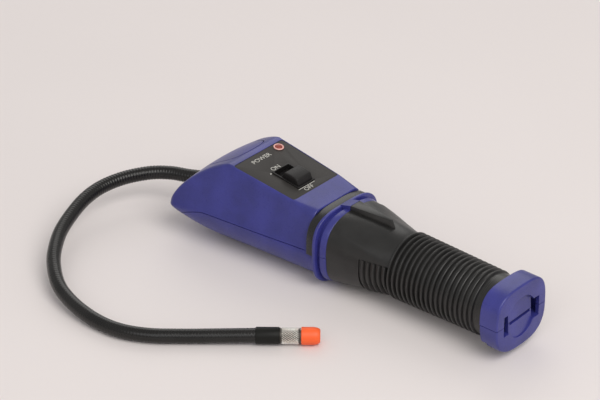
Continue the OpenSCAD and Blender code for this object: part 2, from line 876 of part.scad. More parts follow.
// Hose from the pump inlet to the tail of the gland
hose_u = cover_u + cover_t + 1;
gland_tail_u = seat_u - nut_t - gland_tail;
module air_tube() {
  color([0.75, 0.74, 0.70]) placed() difference() {
    along(hose_u, gland_tail_u + 5 - hose_u, nipple_d + 1.8, neck_z);
    along(hose_u - 1, gland_tail_u + 7 - hose_u, nipple_d, neck_z);
  }
}

// Two cells with their contacts
cell_u = cap_len + plate_t + spring_len;
module cell(u) {
  color([0.62, 0.50, 0.20]) placed() {
    along(u, cell_len - 1.5, cell_d);
    along(u + cell_len - 1.5 - EPS, 1.5 + EPS, 6.5);
  }
}
module battery_rear() {
  cell(cell_u);
}
module battery_front() {
  cell(cell_u + cell_len);
}
module spring_plate() {
  color(STEEL) placed() along(cap_len, plate_t, 20);
}
module contact_plate() {
  color(STEEL) placed() along(cell_u + 2 * cell_len, collar_u - cell_u - 2 * cell_len, 16);
}

// Conical contact spring between the plate and the rear cell
spring_turns = 3;
spring_wire = 0.9;
module battery_spring() {
  steps = 16 * spring_turns;
  sides = 6;
  r = spring_wire / 2;
  rings = [
    for (i = [0:steps])
      let (t = i / steps, q = 360 * spring_turns * t, c = mix(8, 4, t))
      let (o = [mix(cap_len + plate_t + r, cell_u - r, t), c * cos(q), c * sin(q)])
      [for (k = [0:sides - 1])
        let (w = -360 * k / sides)
        o + r * cos(w) * [0, cos(q), sin(q)] + [r * sin(w), 0, 0]]
  ];
  color(STEEL) placed() loft(rings);
}

// Gland in the nose with its nut
module probe_gland() {
  color(BLACK) placed() difference() {
    union() {
      along(flange_seat_u, gland_flange_t, gland_flange_d, neck_z);
      along(seat_u - nut_t, flange_seat_u - seat_u + nut_t + EPS, gland_d, neck_z);
      along(gland_tail_u, gland_tail + EPS, nipple_d, neck_z);
    }
    along(gland_tail_u - 1, gland_tail + nut_t + 8, air_bore, neck_z);
  }
}
module gland_nut() {
  color(STEEL) placed() difference() {
    translate([seat_u - nut_t, 0, neck_z]) rotate([0, 90, 0]) cylinder(h = nut_t, d = nut_d, $fn = 6);
    along(seat_u - nut_t - 1, nut_t + 2, gland_d, neck_z);
  }
}

// Gooseneck swept along a smooth line through the route points
function smooth(p, i, t) =
  let (n = len(p) - 1)
  let (a = p[max(0, i - 1)], b = p[i], c = p[i + 1], d = p[min(n, i + 2)])
  0.5 * (2 * b + (c - a) * t + (2 * a - 5 * b + 4 * c - d) * t * t + (3 * b - a - 3 * c + d) * t * t * t);
function neck_line() = concat(
  [for (i = [0:len(neck_route) - 2], k = [0:neck_steps - 1])
    smooth(neck_route, i, k / neck_steps) - [0, 0, case_depth]],
  [tip_start]
);
module gooseneck() {
  line = neck_line();
  n = len(line) - 1;
  rings = [
    for (i = [0:n])
      let (t = i == 0 ? [1, 0, 0] : i == n ? tip_dir : unit(line[i + 1] - line[i - 1]))
      let (side = unit(cross(t, [0, 0, 1])), up = cross(side, t))
      [for (k = [0:neck_sides - 1])
        let (w = 360 * k / neck_sides)
        line[i] - neck_d / 2 * (cos(w) * side - sin(w) * up)]
  ];
  color(BLACK) placed() loft(rings);
}

// Probe tip: shrink sleeve, ferrule, sensing tip and its slip-on protector
tip_bore = 2;
module tip_sleeve() {
  color(BLACK) placed() at_tip() difference() {
    along(0, sleeve_len, sleeve_d);
    along(sleeve_len - 4, 5, 6);
  }
}
module tip_ferrule() {
  color(STEEL) placed() at_tip() difference() {
    union() {
      along(sleeve_len, ferrule_len, ferrule_d);
      along(sleeve_len - 4, 4 + EPS, 6);
    }
    along(sleeve_len - 5, ferrule_len + 6, 4);
  }
}
module sensing_tip() {
  u0 = sleeve_len + ferrule_len;
  color([0.80, 0.78, 0.70]) placed() at_tip() difference() {
    union() {
      along(u0, protector_len - 4, sensor_d);
      along(u0 - 6, 6 + EPS, 4);
    }
    along(u0 - 7, protector_len + 8, tip_bore);
  }
}
module tip_protector() {
  u0 = sleeve_len + ferrule_len + slide_gap;
  l = protector_len - slide_gap;
  taper = 3.6;
  color(ORANGE) placed() at_tip() difference() {
    translate([u0, 0, 0]) rotate([0, 90, 0]) rotate_extrude()
      polygon([[0, 0], [protector_d / 2, 0], [protector_d / 2, l - taper], [3.6, l - 0.4], [3.2, l], [0, l]]);
    along(u0 - 1, l - 1.8, sensor_d + 2 * slide_gap);
    along(u0, l + 2, 2.6);
  }
}

// Screws that join the case halves from below
module case_screws() {
  color(STEEL) placed() for (p = screw_at, s = [-1, 1]) translate([p[0], s * p[1], 0]) {
    difference() {
      translate([0, 0, screw_seat - screw_head_t]) cylinder(h = screw_head_t, d = screw_head_d);
      for (q = [0, 90]) rotate([0, 0, q])
        translate([-1.7, -0.4, screw_seat - screw_head_t - 0.1]) cube([3.4, 0.8, 1.2]);
    }
    translate([0, 0, screw_seat - EPS]) cylinder(h = screw_top - screw_seat, d = screw_d);
  }
}

upper_case();
lower_case();
battery_door();
upper_grip();
lower_grip();
collar_band();
label_panel();
led_bezel();
led_lens();
switch_knob();
switch_body();
circuit_board();
board_screws();
buzzer();
voltage_module();
pump_motor();
pump_housing();
pump_cover();
pump_impeller();
motor_shaft();
air_tube();
battery_rear();
battery_front();
battery_spring();
spring_plate();
contact_plate();
probe_gland();
gland_nut();
gooseneck();
tip_sleeve();
tip_ferrule();
sensing_tip();
tip_protector();
case_screws();
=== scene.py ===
"""Looks of the hand-held refrigerant leak detector, laid out as a Blender add-on and run as a script."""
import math

import bmesh
import bpy
from bpy.props import FloatProperty, FloatVectorProperty, IntProperty, PointerProperty
from mathutils import Matrix, Vector


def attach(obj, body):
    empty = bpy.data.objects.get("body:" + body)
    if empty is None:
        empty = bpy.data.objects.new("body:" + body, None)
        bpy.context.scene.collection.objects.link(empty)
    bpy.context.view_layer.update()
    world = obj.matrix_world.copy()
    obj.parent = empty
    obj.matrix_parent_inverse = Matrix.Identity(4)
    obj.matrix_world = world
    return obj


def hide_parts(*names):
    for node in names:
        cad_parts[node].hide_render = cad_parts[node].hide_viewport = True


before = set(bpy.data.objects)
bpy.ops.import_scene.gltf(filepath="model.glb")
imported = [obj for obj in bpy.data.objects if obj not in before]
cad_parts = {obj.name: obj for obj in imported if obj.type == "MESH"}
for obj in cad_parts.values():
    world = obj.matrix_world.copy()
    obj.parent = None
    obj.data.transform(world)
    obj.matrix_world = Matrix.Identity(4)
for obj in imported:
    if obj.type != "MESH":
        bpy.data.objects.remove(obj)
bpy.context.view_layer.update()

bl_info = {
    "name": "Refrigerant leak detector",
    "version": (1, 0, 0),
    "blender": (4, 5, 0),
    "location": "View3D > Sidebar > Detector",
    "description": "Builds the outer pieces, finishes and stage of a hand-held leak detector",
    "category": "Add Mesh",
}

FINISHES = {}

# Stations in millimetres: x forward from the rear face, y to the left, z up from the handle axis
MM = 0.001
BODY_LEN = 229.0
CASE_DEPTH = 22.5
CAP_LEN = 12.0
COLLAR_U = 117.5
GROOVE_U = 121.8
FLANGE_U = 123.6
BAND_U = 125.6
HEAD_U = 131.0
TOP_LEN = 62.0
TOP_U = HEAD_U + TOP_LEN
NOSE_U = BODY_LEN
WALL = 2.4
SPLIT_GAP = 0.3

# Overlap of joined solids, reach of a cutter past the object, and metres within which points are the same
OVERLAP = 0.1
FAR = 60.0
SAME_POINT = 2e-6

# Handle tube and the hook rails of its door
BAY_R = 13.5
TUBE_R = 17.2
DOOR_END = COLLAR_U - SPLIT_GAP
RAIL_Y = 15.3
RAIL_T = 0.8
RAIL_LOW = -3.6
RAIL_FOOT = 1.0
RAIL_GAP = 0.25

# Ribbed rubber, with a short rib as distance along the handle and height over the flare
GRIP_R = 19.2
VALLEY_R = 17.8
PLAIN_R = VALLEY_R + 0.4
GRIP_GAP = 0.03
RIB_U = CAP_LEN + 7
RIB_BASE_W = 2.2
RIB_CREST_HALF = 0.68
SHORT_RIB = [(-1.1, -0.8), (-0.7, 0.1), (-0.4, 0.5), (0, 0.62), (0.4, 0.5), (0.7, 0.1), (1.1, -0.8)]
SHORT_RIB_SINK = 0.6

# Thickness of the tapered rubber at the cap and at the flare, as a share of that before the taper
CAP_RUBBER = 0.78
FLARE_RUBBER = 1.4

# Flare at the collar, its thumb scoop and the soft fold beside it, with leans in degrees above level
FLARE_HALF = 24.9
FLARE_UP = 22.0
FLARE_DOWN = 21.3
FLARE_SQUARE = (2.7, 2.8)
SCOOP_SHARE = 0.03
SCOOP_LEAN = 58
SCOOP_SPREAD = 14
FOLD_SHARE = 0.024
FOLD_LEANS = (24, 44)
FOLD_SPREAD = 6
WEDGE_LEN = 26.5
WEDGE_TOP = GRIP_R + 3.7
WEDGE_FOOT = 14.0

# End cap
CAP_W = 21.6
CAP_TOP = 19.6
CAP_BOTTOM = 18.9
CAP_SQUARE = (3.3, 2.75)
CAP_EDGE = (1.2, 0.95)
RECESS_R = 12.3
RECESS_DEPTHS = (0.5, 2.3)
RECESS_TURN = math.radians(120)
SLOT_Y = 10.5
SLOT_W = 4.9
SLOT_H = 12.6
STRAP_BAR = 3.2
TUNNEL_D = 4.4
POCKET_U = (2.2, CAP_LEN - 2)
POCKET_WALL = 2.6

# Notches under the door's cap half and the gap across the recess
NOTCH_LEN = 4.5
FINGER_HALF = 13.0
FINGER_H = 5.1
CORNER_Y = (14.5, 22.0)
CORNER_H = 7.6
LATCH_HALF = 9.4
LATCH_H = 1.9

# Head
HEAD_W = 26.2
HEAD_FLARE = 0.1
CREASE_W = 19.8
CREASE_FLARE = 0.03
CREASE_Z = 22.2
TOP_SLOPE = math.radians(7.6)
TIP_Z = -3.8
CHIN_LEN = 34.5
NOSE_CROWN = 1.9
NOSE_TUCK = 3.8
NOSE_TUCK_LEN = 12.0
LOW_SQUARE = 2.1
HOLLOW_BACK = 1.2

# Line between the case halves, as station and height
PARTING_LINE = [
    (-10, 0), (NOSE_U - 27, 0), (NOSE_U - 23.5, -0.5), (NOSE_U - 19, -1.9), (NOSE_U - 15, -3.4),
    (NOSE_U - 10.5, -5.6), (NOSE_U - 7, -13.2), (NOSE_U + 20, -13.2),
]

# Half of the line that frames the nose front, as station and side distance
NOSE_LINE = [
    (218, 14.6), (214, 16.0), (209, 16.7), (204, 16.5), (199.8, 15.2), (197.0, 12.6), (195.6, 8), (195, 0),
]

# Collar and band. The first three are half width, height above and depth below the axis: at the rear face, at
# the groove's edge, and at the groove before its depth is taken off
COLLAR_REAR = (25.0, 21.7, 21.4)
COLLAR_FRONT = (25.8, 21.8, 21.7)
COLLAR_MID = (25.6, 21.9, 21.7)
GROOVE_D = 1.5
FLANGE_HALF = 27.7
FLANGE_RISE = 0.3
COLLAR_BAY_R = 18.0
COLLAR_BAY_DROP = 0.5
SEAM_Y = 24.2
BAND_T = 1.0
BAND_LOW = -1.6
BAND_TOP = CREASE_Z - 0.3
BAND_SQUARE = 3.6
BAND_GAP = 0.05
TONGUE_Z = 24.8
TONGUE_FRONT_Z = 22.9
TONGUE_HALF = 4.1

# Case screws, as station and side distance
SCREW_AT = [(HEAD_U + 9, 18.5), (NOSE_U - 34, 22.5)]
SCREW_SEAT = -12.0
BOSS_SPAN = (-20.5, -0.2)
BOSS_R = 4.5
WELL_R = 3.2
BORE_R = 1.7

# Label, switch and light, in the frame of the flat top
LABEL_REAR = 15.0
LABEL_FRONT = 59.0
LABEL_T = 0.8
LABEL_TOP = -0.16
LABEL_CORNER = 1.6
SWITCH_X = (TOP_LEN - 31.5) / math.cos(TOP_SLOPE)
SWITCH_Y = 2.0
SWITCH_LEN = 19.0
SWITCH_W = 12.6
KNOB_LEN = 12.9
KNOB_H = 4.2
KNOB_FOOT = -2.1
KNOB_SHOULDER = 0.9
KNOB_LEAN = 1.7
KNOB_CROWN = 0.5
STEM_FOOT = -5.9
LIGHT_X = (TOP_LEN - 7.0) / math.cos(TOP_SLOPE)
LIGHT_Y = -13.2
LIGHT_HOLE_R = 2.75
LENS_R = 2.08

# Words on the label: piece, text, station of their foot and the side distances that they span
WORDS = [
    ("print_power", "POWER", 183.6, 9.8, -4.8),
    ("print_on", "ON", 172.3, 6.6, 0.2),
    ("print_off", "OFF", 147.4, 6.6, -0.2),
]

# Probe
NECK_Z = -2.0
NECK_R = 4.1
NECK_U = NOSE_U + 1.4
TIP_H = 5.0
LIE_H = 4.2
TIP_START = (113.0, 88.3)
TIP_TURN = math.atan2(-0.646, -0.764)
NECK_ROUTE = [
    (NECK_U, 0, 20.5), (241, 4, 19.6), (251.5, 8, 19.3), (261, 16, 19.2), (268.5, 30, 19),
    (272, 45, 18.2), (271, 60, 17), (266.5, 76, 15), (259.5, 92, 13), (249, 107, 11),
    (239.5, 116.5, 9.3), (228.5, 124.5, 7.7), (217, 129.5, 6.3), (202, 133, 5.1),
    (186.5, 134, LIE_H), (171.5, 132, LIE_H), (157, 125, LIE_H), (143, 113.7, LIE_H),
    (130, 102.7, LIE_H + 0.3), (TIP_START[0], TIP_START[1], TIP_H),
]
GLAND_R = 4.9
GLAND_LEN = 8.0
GLAND_BORE_R = 1.8
GLAND_FLANGE_R = 6.9
GLAND_ROUND = 0.8
GLAND_GAP = 0.15

# Pieces on the probe's tip, with a ferrule end as distance and radius
SLEEVE_LEN = 13.0
SLEEVE_R = 4.75
SLEEVE_BORE_R = 2.9
FERRULE_LEN = 11.4
FERRULE_END = [(0, 2.1), (0, 4.2), (0.2, 4.4), (0.5, 4.4), (0.7, 3.9)]
KNURL_MARGIN = 0.6
KNURL_SHARE = 0.88
KNURL_ROOT_R = 3.5
KNURL_FOOT_R = 3.7
KNURL_MID_R = 4.0
KNURL_PEAK_R = 4.8
PROTECTOR_LEN = 10.7
COVER_R = 4.9
COVER_BORE_R = 3.4
COVER_NOSE = (3.8, 1.6)
COVER_HOLE_R = 1.3
COVER_END_T = 1.8

# Colours that have no setting
KNOB_BLACK = (0.009, 0.008, 0.008)
SLEEVE_BLACK = (0.007, 0.007, 0.006)
PLATED_STEEL = (0.97, 0.92, 0.86)
# Dark steel of the ferrule body under the knurl: painted shade, so the valleys between the knurl studs read
# dark
VALLEY_SHADE_STEEL = (0.12, 0.11, 0.1)
CONTACT_STEEL = (0.55, 0.55, 0.57)
BOARD_GREEN = (0.012, 0.12, 0.035)
INNER_GREY = (0.13, 0.13, 0.125)
SENSOR_WHITE = (0.66, 0.64, 0.58)
HOSE_PALE = (0.5, 0.48, 0.43)
FOIL_DARK = (0.03, 0.03, 0.032)
FOIL_COPPER = (0.45, 0.24, 0.09)

# Length of a cell and where its copper-coloured band starts, in metres
CELL_LEN = 0.05
CELL_BAND = (0.033, 0.0335)

# Pieces that keep the frame's shape, by finish
KEPT_NODES = {
    "knob": ["switch_body", "buzzer", "voltage_module"],
    "board": ["circuit_board"],
    "steel": ["board_screws", "pump_motor", "motor_shaft", "battery_spring", "spring_plate",
              "contact_plate", "gland_nut", "case_screws"],
    "inner": ["pump_housing", "pump_cover"],
    "white": ["pump_impeller", "sensing_tip"],
    "hose": ["air_tube"],
    "cell": ["battery_rear", "battery_front"],
}

# Camera fitted to the photograph
CAMERA_AT = (-0.887355, 1.065188, 0.869307)
CAMERA_TURN = math.radians(41.157)
CAMERA_RISE = math.radians(30.572)
CAMERA_LENS = 174.0

# Floor and lights in metres, with each light's place, width and colour
FLOOR_REACH = 4.0
FLOOR_Z = -0.0002
SKY_COLOUR = (1.0, 0.985, 0.97, 1)
LIGHT_AIM = Vector((0.02, 0.03, 0.02))
LIGHTS = {
    "key": ((-1.35, 0.4, 1.65), 1.6, (1.0, 0.98, 0.95)),
    "fill": ((-0.6, 1.6, 1.2), 1.2, (0.98, 0.985, 1.0)),
    "rim": ((0.95, -1.05, 1.0), 1.2, (1.0, 0.98, 0.95)),
}


# Settings

def colour_setting(name, description, default):
    """Colour of a settings group."""
    return FloatVectorProperty(name=name, description=description, default=default, subtype="COLOR", size=3)


def length_setting(name, description, default):
    """Length of a settings group, in metres."""
    return FloatProperty(name=name, description=description, default=default, unit="LENGTH")


def count_setting(name, description, default, low, high):
    """Whole number of a settings group."""
    return IntProperty(name=name, description=description, default=default, min=low, max=high)


def power_setting(name, description, default):
    """Power of a light, in watts."""
    return FloatProperty(name=name, description=description, default=default, unit="POWER")


class FinishColours(bpy.types.PropertyGroup):
    """Colours of the visible finishes."""

    case: colour_setting("Case", "Blue of the moulded case", (0.036, 0.038, 0.22))
    grip: colour_setting("Grip", "Black of the ribbed rubber", (0.015, 0.0145, 0.014))
    band: colour_setting("Band", "Black of the collar band", (0.012, 0.012, 0.013))
    label: colour_setting("Label", "Grey of the top label", (0.031, 0.028, 0.026))
    print_ink: colour_setting("Print", "Pale ink of the lettering", (0.55, 0.54, 0.5))
    neck: colour_setting("Gooseneck", "Black of the gooseneck", (0.009, 0.0085, 0.008))
    tip: colour_setting("Tip cover", "Orange of the tip protector", (0.95, 0.12, 0.02))
    lens: colour_setting("Lens", "Red-brown of the power light", (0.26, 0.045, 0.032))
    bezel: colour_setting("Light ring", "Pale pink ring round the light", (0.78, 0.42, 0.38))


class GripShape(bpy.types.PropertyGroup):
    """Ribs of the handle."""

    rib_count: count_setting("Ribs", "Ribs that go all the way round", 18, 4, 19)
    rib_pitch: length_setting("Rib pitch", "Distance from rib to rib", 0.00335)
    short_count: count_setting("Short ribs", "Ribs below the thumb rest", 5, 0, 5)
    short_top: length_setting("Short rib top", "Height above the axis at which short ribs end", 0.006)


class ProbeShape(bpy.types.PropertyGroup):
    """Ridges of the gooseneck and knurl of the ferrule."""

    ridge_pitch: length_setting("Ridge pitch", "Distance between gooseneck ridges", 0.0018)
    ridge_height: length_setting("Ridge height", "Height of a ridge at the root", 0.00016)
    knurl_count: count_setting("Knurls", "Knurl studs round the ferrule", 20, 8, 60)
    knurl_rows: count_setting("Knurl rows", "Rows of knurl studs", 11, 2, 30)


class StageSetup(bpy.types.PropertyGroup):
    """Floor and lights."""

    floor: colour_setting("Floor", "Pale colour of the floor", (0.81, 0.755, 0.745))
    key_power: power_setting("Key light", "Power of the key light", 25.5)
    fill_power: power_setting("Fill light", "Power of the fill light", 5.0)
    rim_power: power_setting("Rim light", "Power of the rim light", 4.5)
    sky: FloatProperty(name="Sky", description="Strength of the even light", default=0.48)


# Frames and numbers

def place(point):
    """A station point in millimetres as a point of the shared frame in metres."""
    u, y, z = point
    return Vector(((u - BODY_LEN / 2) * MM, y * MM, (z + CASE_DEPTH) * MM))


def station(point):
    """A station point as it is."""
    return point


def on_top(point):
    """A point of the flat top's own frame as a station point."""
    x, y, z = point
    c, s = math.cos(TOP_SLOPE), math.sin(TOP_SLOPE)
    return (HEAD_U + x * c - z * s, y, CREASE_Z + x * s + z * c)


def at_tip(point):
    """A point of the probe tip's own frame as a station point."""
    x, y, z = point
    c, s = math.cos(TIP_TURN), math.sin(TIP_TURN)
    return (TIP_START[0] + x * c - y * s, TIP_START[1] + x * s + y * c, TIP_H - CASE_DEPTH + z)


def along_probe(point):
    """A point on the outlet axis as a station point."""
    x, y, z = point
    return (x, y, z + NECK_Z)


def light_frame(point):
    """A point about the light's axis, with x out of the top, as a station point."""
    x, y, z = point
    return on_top((LIGHT_X + y, LIGHT_Y + z, x))


def across(p, h):
    """A side view's point, drawn out across the object."""
    return (p[0], h, p[1])


def lengthwise(p, h):
    """A front view's point, drawn out along the object."""
    return (h, p[0], p[1])


def upwards(p, h):
    """A plan's point, drawn out upwards."""
    return (p[0], p[1], h)


def out_of_top(p, h):
    """A point of the flat top's plan, drawn out of the top."""
    return on_top((p[0], p[1], h))


def across_top(p, h):
    """A point of the flat top's side view, drawn out across the top."""
    return on_top((p[0], h, p[1]))


def mix(a, b, t):
    """Number between two others."""
    return a + (b - a) * t


def clamp(t):
    """Number held between 0 and 1."""
    return max(0.0, min(1.0, t))


def bell(value, middle, spread_by):
    """Bell curve with a height of 1."""
    return math.exp(-((value - middle) / spread_by) ** 2)


def smooth_route(points, steps):
    """Points along a smooth line through the route points."""
    last = len(points) - 1
    line = []
    for i in range(last):
        a, b, c, d = points[max(0, i - 1)], points[i], points[i + 1], points[min(last, i + 2)]
        for k in range(steps):
            t = k / steps
            line.append(tuple(
                0.5 * (2 * q + (r - p) * t + (2 * p - 5 * q + 4 * r - s) * t * t
                       + (3 * q - p - 3 * r + s) * t ** 3)
                for p, q, r, s in zip(a, b, c, d)))
    line.append(points[last])
    return line


# Outlines

def rectangle(low, high):
    """Outline of a rectangle from two flat corners."""
    return [(low[0], low[1]), (high[0], low[1]), (high[0], high[1]), (low[0], high[1])]


def round_corners(centres, r, steps=5):
    """Outline with a quarter circle about each of four centres, anticlockwise from the upper right one."""
    outline = []
    for quarter, (x, y) in enumerate(centres):
        for k in range(steps + 1):
            t = math.radians(90 * (quarter + k / steps))
            outline.append((x + r * math.cos(t), y + r * math.sin(t)))
    return outline


def rounded_box(low, high, r):
    """Outline of a rectangle with rounded corners, from two flat corners."""
    x0, y0, x1, y1 = low[0] + r, low[1] + r, high[0] - r, high[1] - r
    return round_corners([(x1, y1), (x0, y1), (x0, y0), (x1, y0)], r)


def arc(x, r, reach, rise, steps, end=90, bend=1.0):
    """Profile points of an arc that starts outwards from its centre and turns forwards."""
    turns = [math.radians(end * k / steps) for k in range(steps + 1)]
    return [(x + reach * math.sin(t) ** bend, r + rise * math.cos(t)) for t in turns]


# Solids

def add_object(name, data):
    """New object, linked into the scene."""
    obj = bpy.data.objects.new(name, data)
    bpy.context.scene.collection.objects.link(obj)
    return obj


def face_outwards(mesh):
    """Merges the doubles of a mesh and turns its faces outwards."""
    bm = bmesh.new()
    bm.from_mesh(mesh)
    bmesh.ops.remove_doubles(bm, verts=bm.verts, dist=SAME_POINT)
    bmesh.ops.recalc_face_normals(bm, faces=bm.faces)
    bm.to_mesh(mesh)
    bm.free()


def solid(name, points, faces):
    """New mesh object from station points."""
    mesh = bpy.data.meshes.new(name)
    mesh.from_pydata([place(p) for p in points], [], faces)
    face_outwards(mesh)
    return add_object(name, mesh)


def loft(name, rings):
    """Closed solid through rings of equal point counts."""
    count = len(rings[0])
    last = (len(rings) - 1) * count
    points = [p for ring_points in rings for p in ring_points]
    for ends in (rings[0], rings[-1]):
        points.append(tuple(sum(p[k] for p in ends) / count for k in range(3)))
    faces = []
    for i in range(len(rings) - 1):
        for j in range(count):
            a = i * count + j
            b = i * count + (j + 1) % count
            faces.append((a, b, b + count, a + count))
    for j in range(count):
        k = (j + 1) % count
        faces.append((last + count, k, j))
        faces.append((last + count + 1, last + j, last + k))
    return solid(name, points, faces)


def prism(name, outline, low, high, where):
    """Closed solid from a flat outline, drawn out from low to high by the frame function."""
    count = len(outline)
    points = [where(p, h) for h in (low, high) for p in outline]
    faces = [(j, (j + 1) % count, count + (j + 1) % count, count + j) for j in range(count)]
    faces.append(tuple(range(count - 1, -1, -1)))
    faces.append(tuple(range(count, 2 * count)))
    return solid(name, points, faces)


def block(name, low, high):
    """Plain box between two station corners."""
    return prism(name, rectangle(low, high), low[2], high[2], upwards)


def side_blocks(name, low, high):
    """Plain box on the left side and its mirror image on the right."""
    right = block(name, (low[0], -high[1], low[2]), (high[0], -low[1], high[2]))
    return [right, block(name, low, high)]


def lathe(name, profile, frame_of, count=64, ring_shape=False):
    """Solid of revolution about the local x axis. A ring shape has a closed profile clear of the axis."""
    points = []
    for x, r in profile:
        for k in range(count):
            t = 2 * math.pi * k / count
            points.append(frame_of((x, r * math.cos(t), r * math.sin(t))))
    faces = []
    rows = len(profile)
    for i in range(rows if ring_shape else rows - 1):
        for k in range(count):
            a = i * count + k
            b = i * count + (k + 1) % count
            c = ((i + 1) % rows) * count
            faces.append((a, b, c + (k + 1) % count, c + k))
    if not ring_shape:
        faces.append(tuple(range(count)))
        faces.append(tuple(range((rows - 1) * count, rows * count)))
    return solid(name, points, faces)


def rod(name, x0, x1, r, frame_of, count=40):
    """Plain cylinder along the local x axis."""
    return lathe(name, [(x0, r), (x1, r)], frame_of, count)


def tube_along(name, line, radius, sides=24):
    """Closed tube along a line of points, its radius given by the distance run."""
    rings = []
    run = 0.0
    last = len(line) - 1
    turns = [2 * math.pi * k / sides for k in range(sides)]
    for i, at in enumerate(line):
        ahead = (line[min(last, i + 1)] - line[max(0, i - 1)]).normalized()
        if i:
            run += (at - line[i - 1]).length
        side = ahead.cross(Vector((0, 0, 1))).normalized()
        up = side.cross(ahead)
        r = radius(run)
        rings.append([tuple(at + r * (math.cos(w) * side + math.sin(w) * up)) for w in turns])
    return loft(name, rings)


def evaluated_mesh(obj):
    """Plain mesh of an object as its modifiers or its curve make it."""
    graph = bpy.context.evaluated_depsgraph_get()
    return bpy.data.meshes.new_from_object(obj.evaluated_get(graph), depsgraph=graph)


def settle(obj):
    """Replaces the object's mesh by its evaluated one and drops its modifiers."""
    mesh = evaluated_mesh(obj)
    obj.modifiers.clear()
    old = obj.data
    obj.data = mesh
    bpy.data.meshes.remove(old)
    return obj


def carve(obj, *others, operation="DIFFERENCE"):
    """Boolean with other solids in turn, which are used up."""
    for other in others:
        modifier = obj.modifiers.new("carve", "BOOLEAN")
        modifier.operation = operation
        modifier.solver = "MANIFOLD"
        modifier.object = other
        settle(obj)
        if not obj.data.polygons:
            raise RuntimeError(f"{obj.name} came out empty after {operation.lower()} with {other.name}")
        mesh = other.data
        bpy.data.objects.remove(other)
        bpy.data.meshes.remove(mesh)
    return obj


def weld(obj, *others):
    """Joins other solids to one, which are used up."""
    return carve(obj, *others, operation="UNION")


def cut_below(obj, z):
    """Takes away what lies below a height."""
    return carve(obj, block("below", (-FAR, -FAR, -FAR), (BODY_LEN + FAR, FAR, z)))


def cut_above(obj, z):
    """Takes away what lies above a height."""
    return carve(obj, block("above", (-FAR, -FAR, z), (BODY_LEN + FAR, FAR, FAR)))


def soften(obj, width, segments=3, angle=35.0):
    """Rounds the sharp edges of a solid."""
    modifier = obj.modifiers.new("soften", "BEVEL")
    modifier.width = width * MM
    modifier.segments = segments
    modifier.limit_method = "ANGLE"
    modifier.angle_limit = math.radians(angle)
    return settle(obj)


def dress(obj, body, nodes, finish, sharp=32.0):
    """Finish, shading and place in the frame of one piece."""
    obj.data.materials.clear()
    obj.data.materials.append(finish)
    obj.data.shade_smooth()
    obj.data.set_sharp_from_angle(angle=math.radians(sharp))
    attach(obj, body)
    if nodes:
        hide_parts(*nodes)
    return obj


# Geometry Nodes

def row_tree(finish):
    """Tree that repeats its mesh in a row along x, each copy turned on about x by a twist."""
    tree = bpy.data.node_groups.new("turned_row", "GeometryNodeTree")
    sockets = {"Geometry": "Geometry", "Count": "Int", "Pitch": "Float", "Twist": "Float"}
    for label, kind in sockets.items():
        tree.interface.new_socket(label, in_out="INPUT", socket_type="NodeSocket" + kind)
    tree.interface.new_socket("Geometry", in_out="OUTPUT", socket_type="NodeSocketGeometry")
    given = tree.nodes.new("NodeGroupInput").outputs
    index = tree.nodes.new("GeometryNodeInputIndex")
    step = tree.nodes.new("ShaderNodeCombineXYZ")
    line = tree.nodes.new("GeometryNodeMeshLine")
    turn = tree.nodes.new("ShaderNodeMath")
    turn.operation = "MULTIPLY"
    angle = tree.nodes.new("ShaderNodeCombineXYZ")
    copies = tree.nodes.new("GeometryNodeInstanceOnPoints")
    real = tree.nodes.new("GeometryNodeRealizeInstances")
    paint = tree.nodes.new("GeometryNodeSetMaterial")
    paint.inputs["Material"].default_value = finish
    made = tree.nodes.new("NodeGroupOutput")
    wires = [
        (given["Pitch"], step.inputs["X"]),
        (given["Count"], line.inputs["Count"]),
        (step.outputs["Vector"], line.inputs["Offset"]),
        (index.outputs["Index"], turn.inputs[0]),
        (given["Twist"], turn.inputs[1]),
        (turn.outputs["Value"], angle.inputs["X"]),
        (line.outputs["Mesh"], copies.inputs["Points"]),
        (given["Geometry"], copies.inputs["Instance"]),
        (angle.outputs["Vector"], copies.inputs["Rotation"]),
        (copies.outputs["Instances"], real.inputs["Geometry"]),
        (real.outputs["Geometry"], paint.inputs["Geometry"]),
        (paint.outputs["Geometry"], made.inputs["Geometry"]),
    ]
    for source, target in wires:
        tree.links.new(source, target)
    return tree


def repeat(obj, finish, **values):
    """Repeats the object's mesh by a row tree with its named inputs and keeps the plain mesh."""
    tree = row_tree(finish)
    modifier = obj.modifiers.new("repeat", "NODES")
    modifier.node_group = tree
    for item in tree.interface.items_tree:
        if item.in_out == "INPUT" and item.name in values:
            modifier[item.identifier] = values[item.name]
    return settle(obj)


# Finishes

def finish_start(name):
    """New material with its nodes, links, shader and coordinates."""
    finish = bpy.data.materials.new(name)
    finish.use_nodes = True
    nodes = finish.node_tree.nodes
    shader = nodes["Principled BSDF"]
    coord = nodes.new("ShaderNodeTexCoord")
    return finish, nodes, finish.node_tree.links, shader, coord


def noise(nodes, links, coord, scale, detail, stretch=None):
    """Noise in Object coordinates, stretched along an axis where asked."""
    texture = nodes.new("ShaderNodeTexNoise")
    texture.inputs["Scale"].default_value = scale
    texture.inputs["Detail"].default_value = detail
    source = coord.outputs["Object"]
    if stretch:
        mapping = nodes.new("ShaderNodeMapping")
        mapping.inputs["Scale"].default_value = stretch
        links.new(source, mapping.inputs["Vector"])
        source = mapping.outputs["Vector"]
    links.new(source, texture.inputs["Vector"])
    return texture.outputs["Fac"]


def tint(nodes, links, factor, low, high):
    """Colour between two shades, by a factor socket. A Mix node's colours are its inputs 6 and 7."""
    blend = nodes.new("ShaderNodeMix")
    blend.data_type = "RGBA"
    blend.inputs[6].default_value = (*low, 1)
    blend.inputs[7].default_value = (*high, 1)
    links.new(factor, blend.inputs[0])
    return blend.outputs[2]


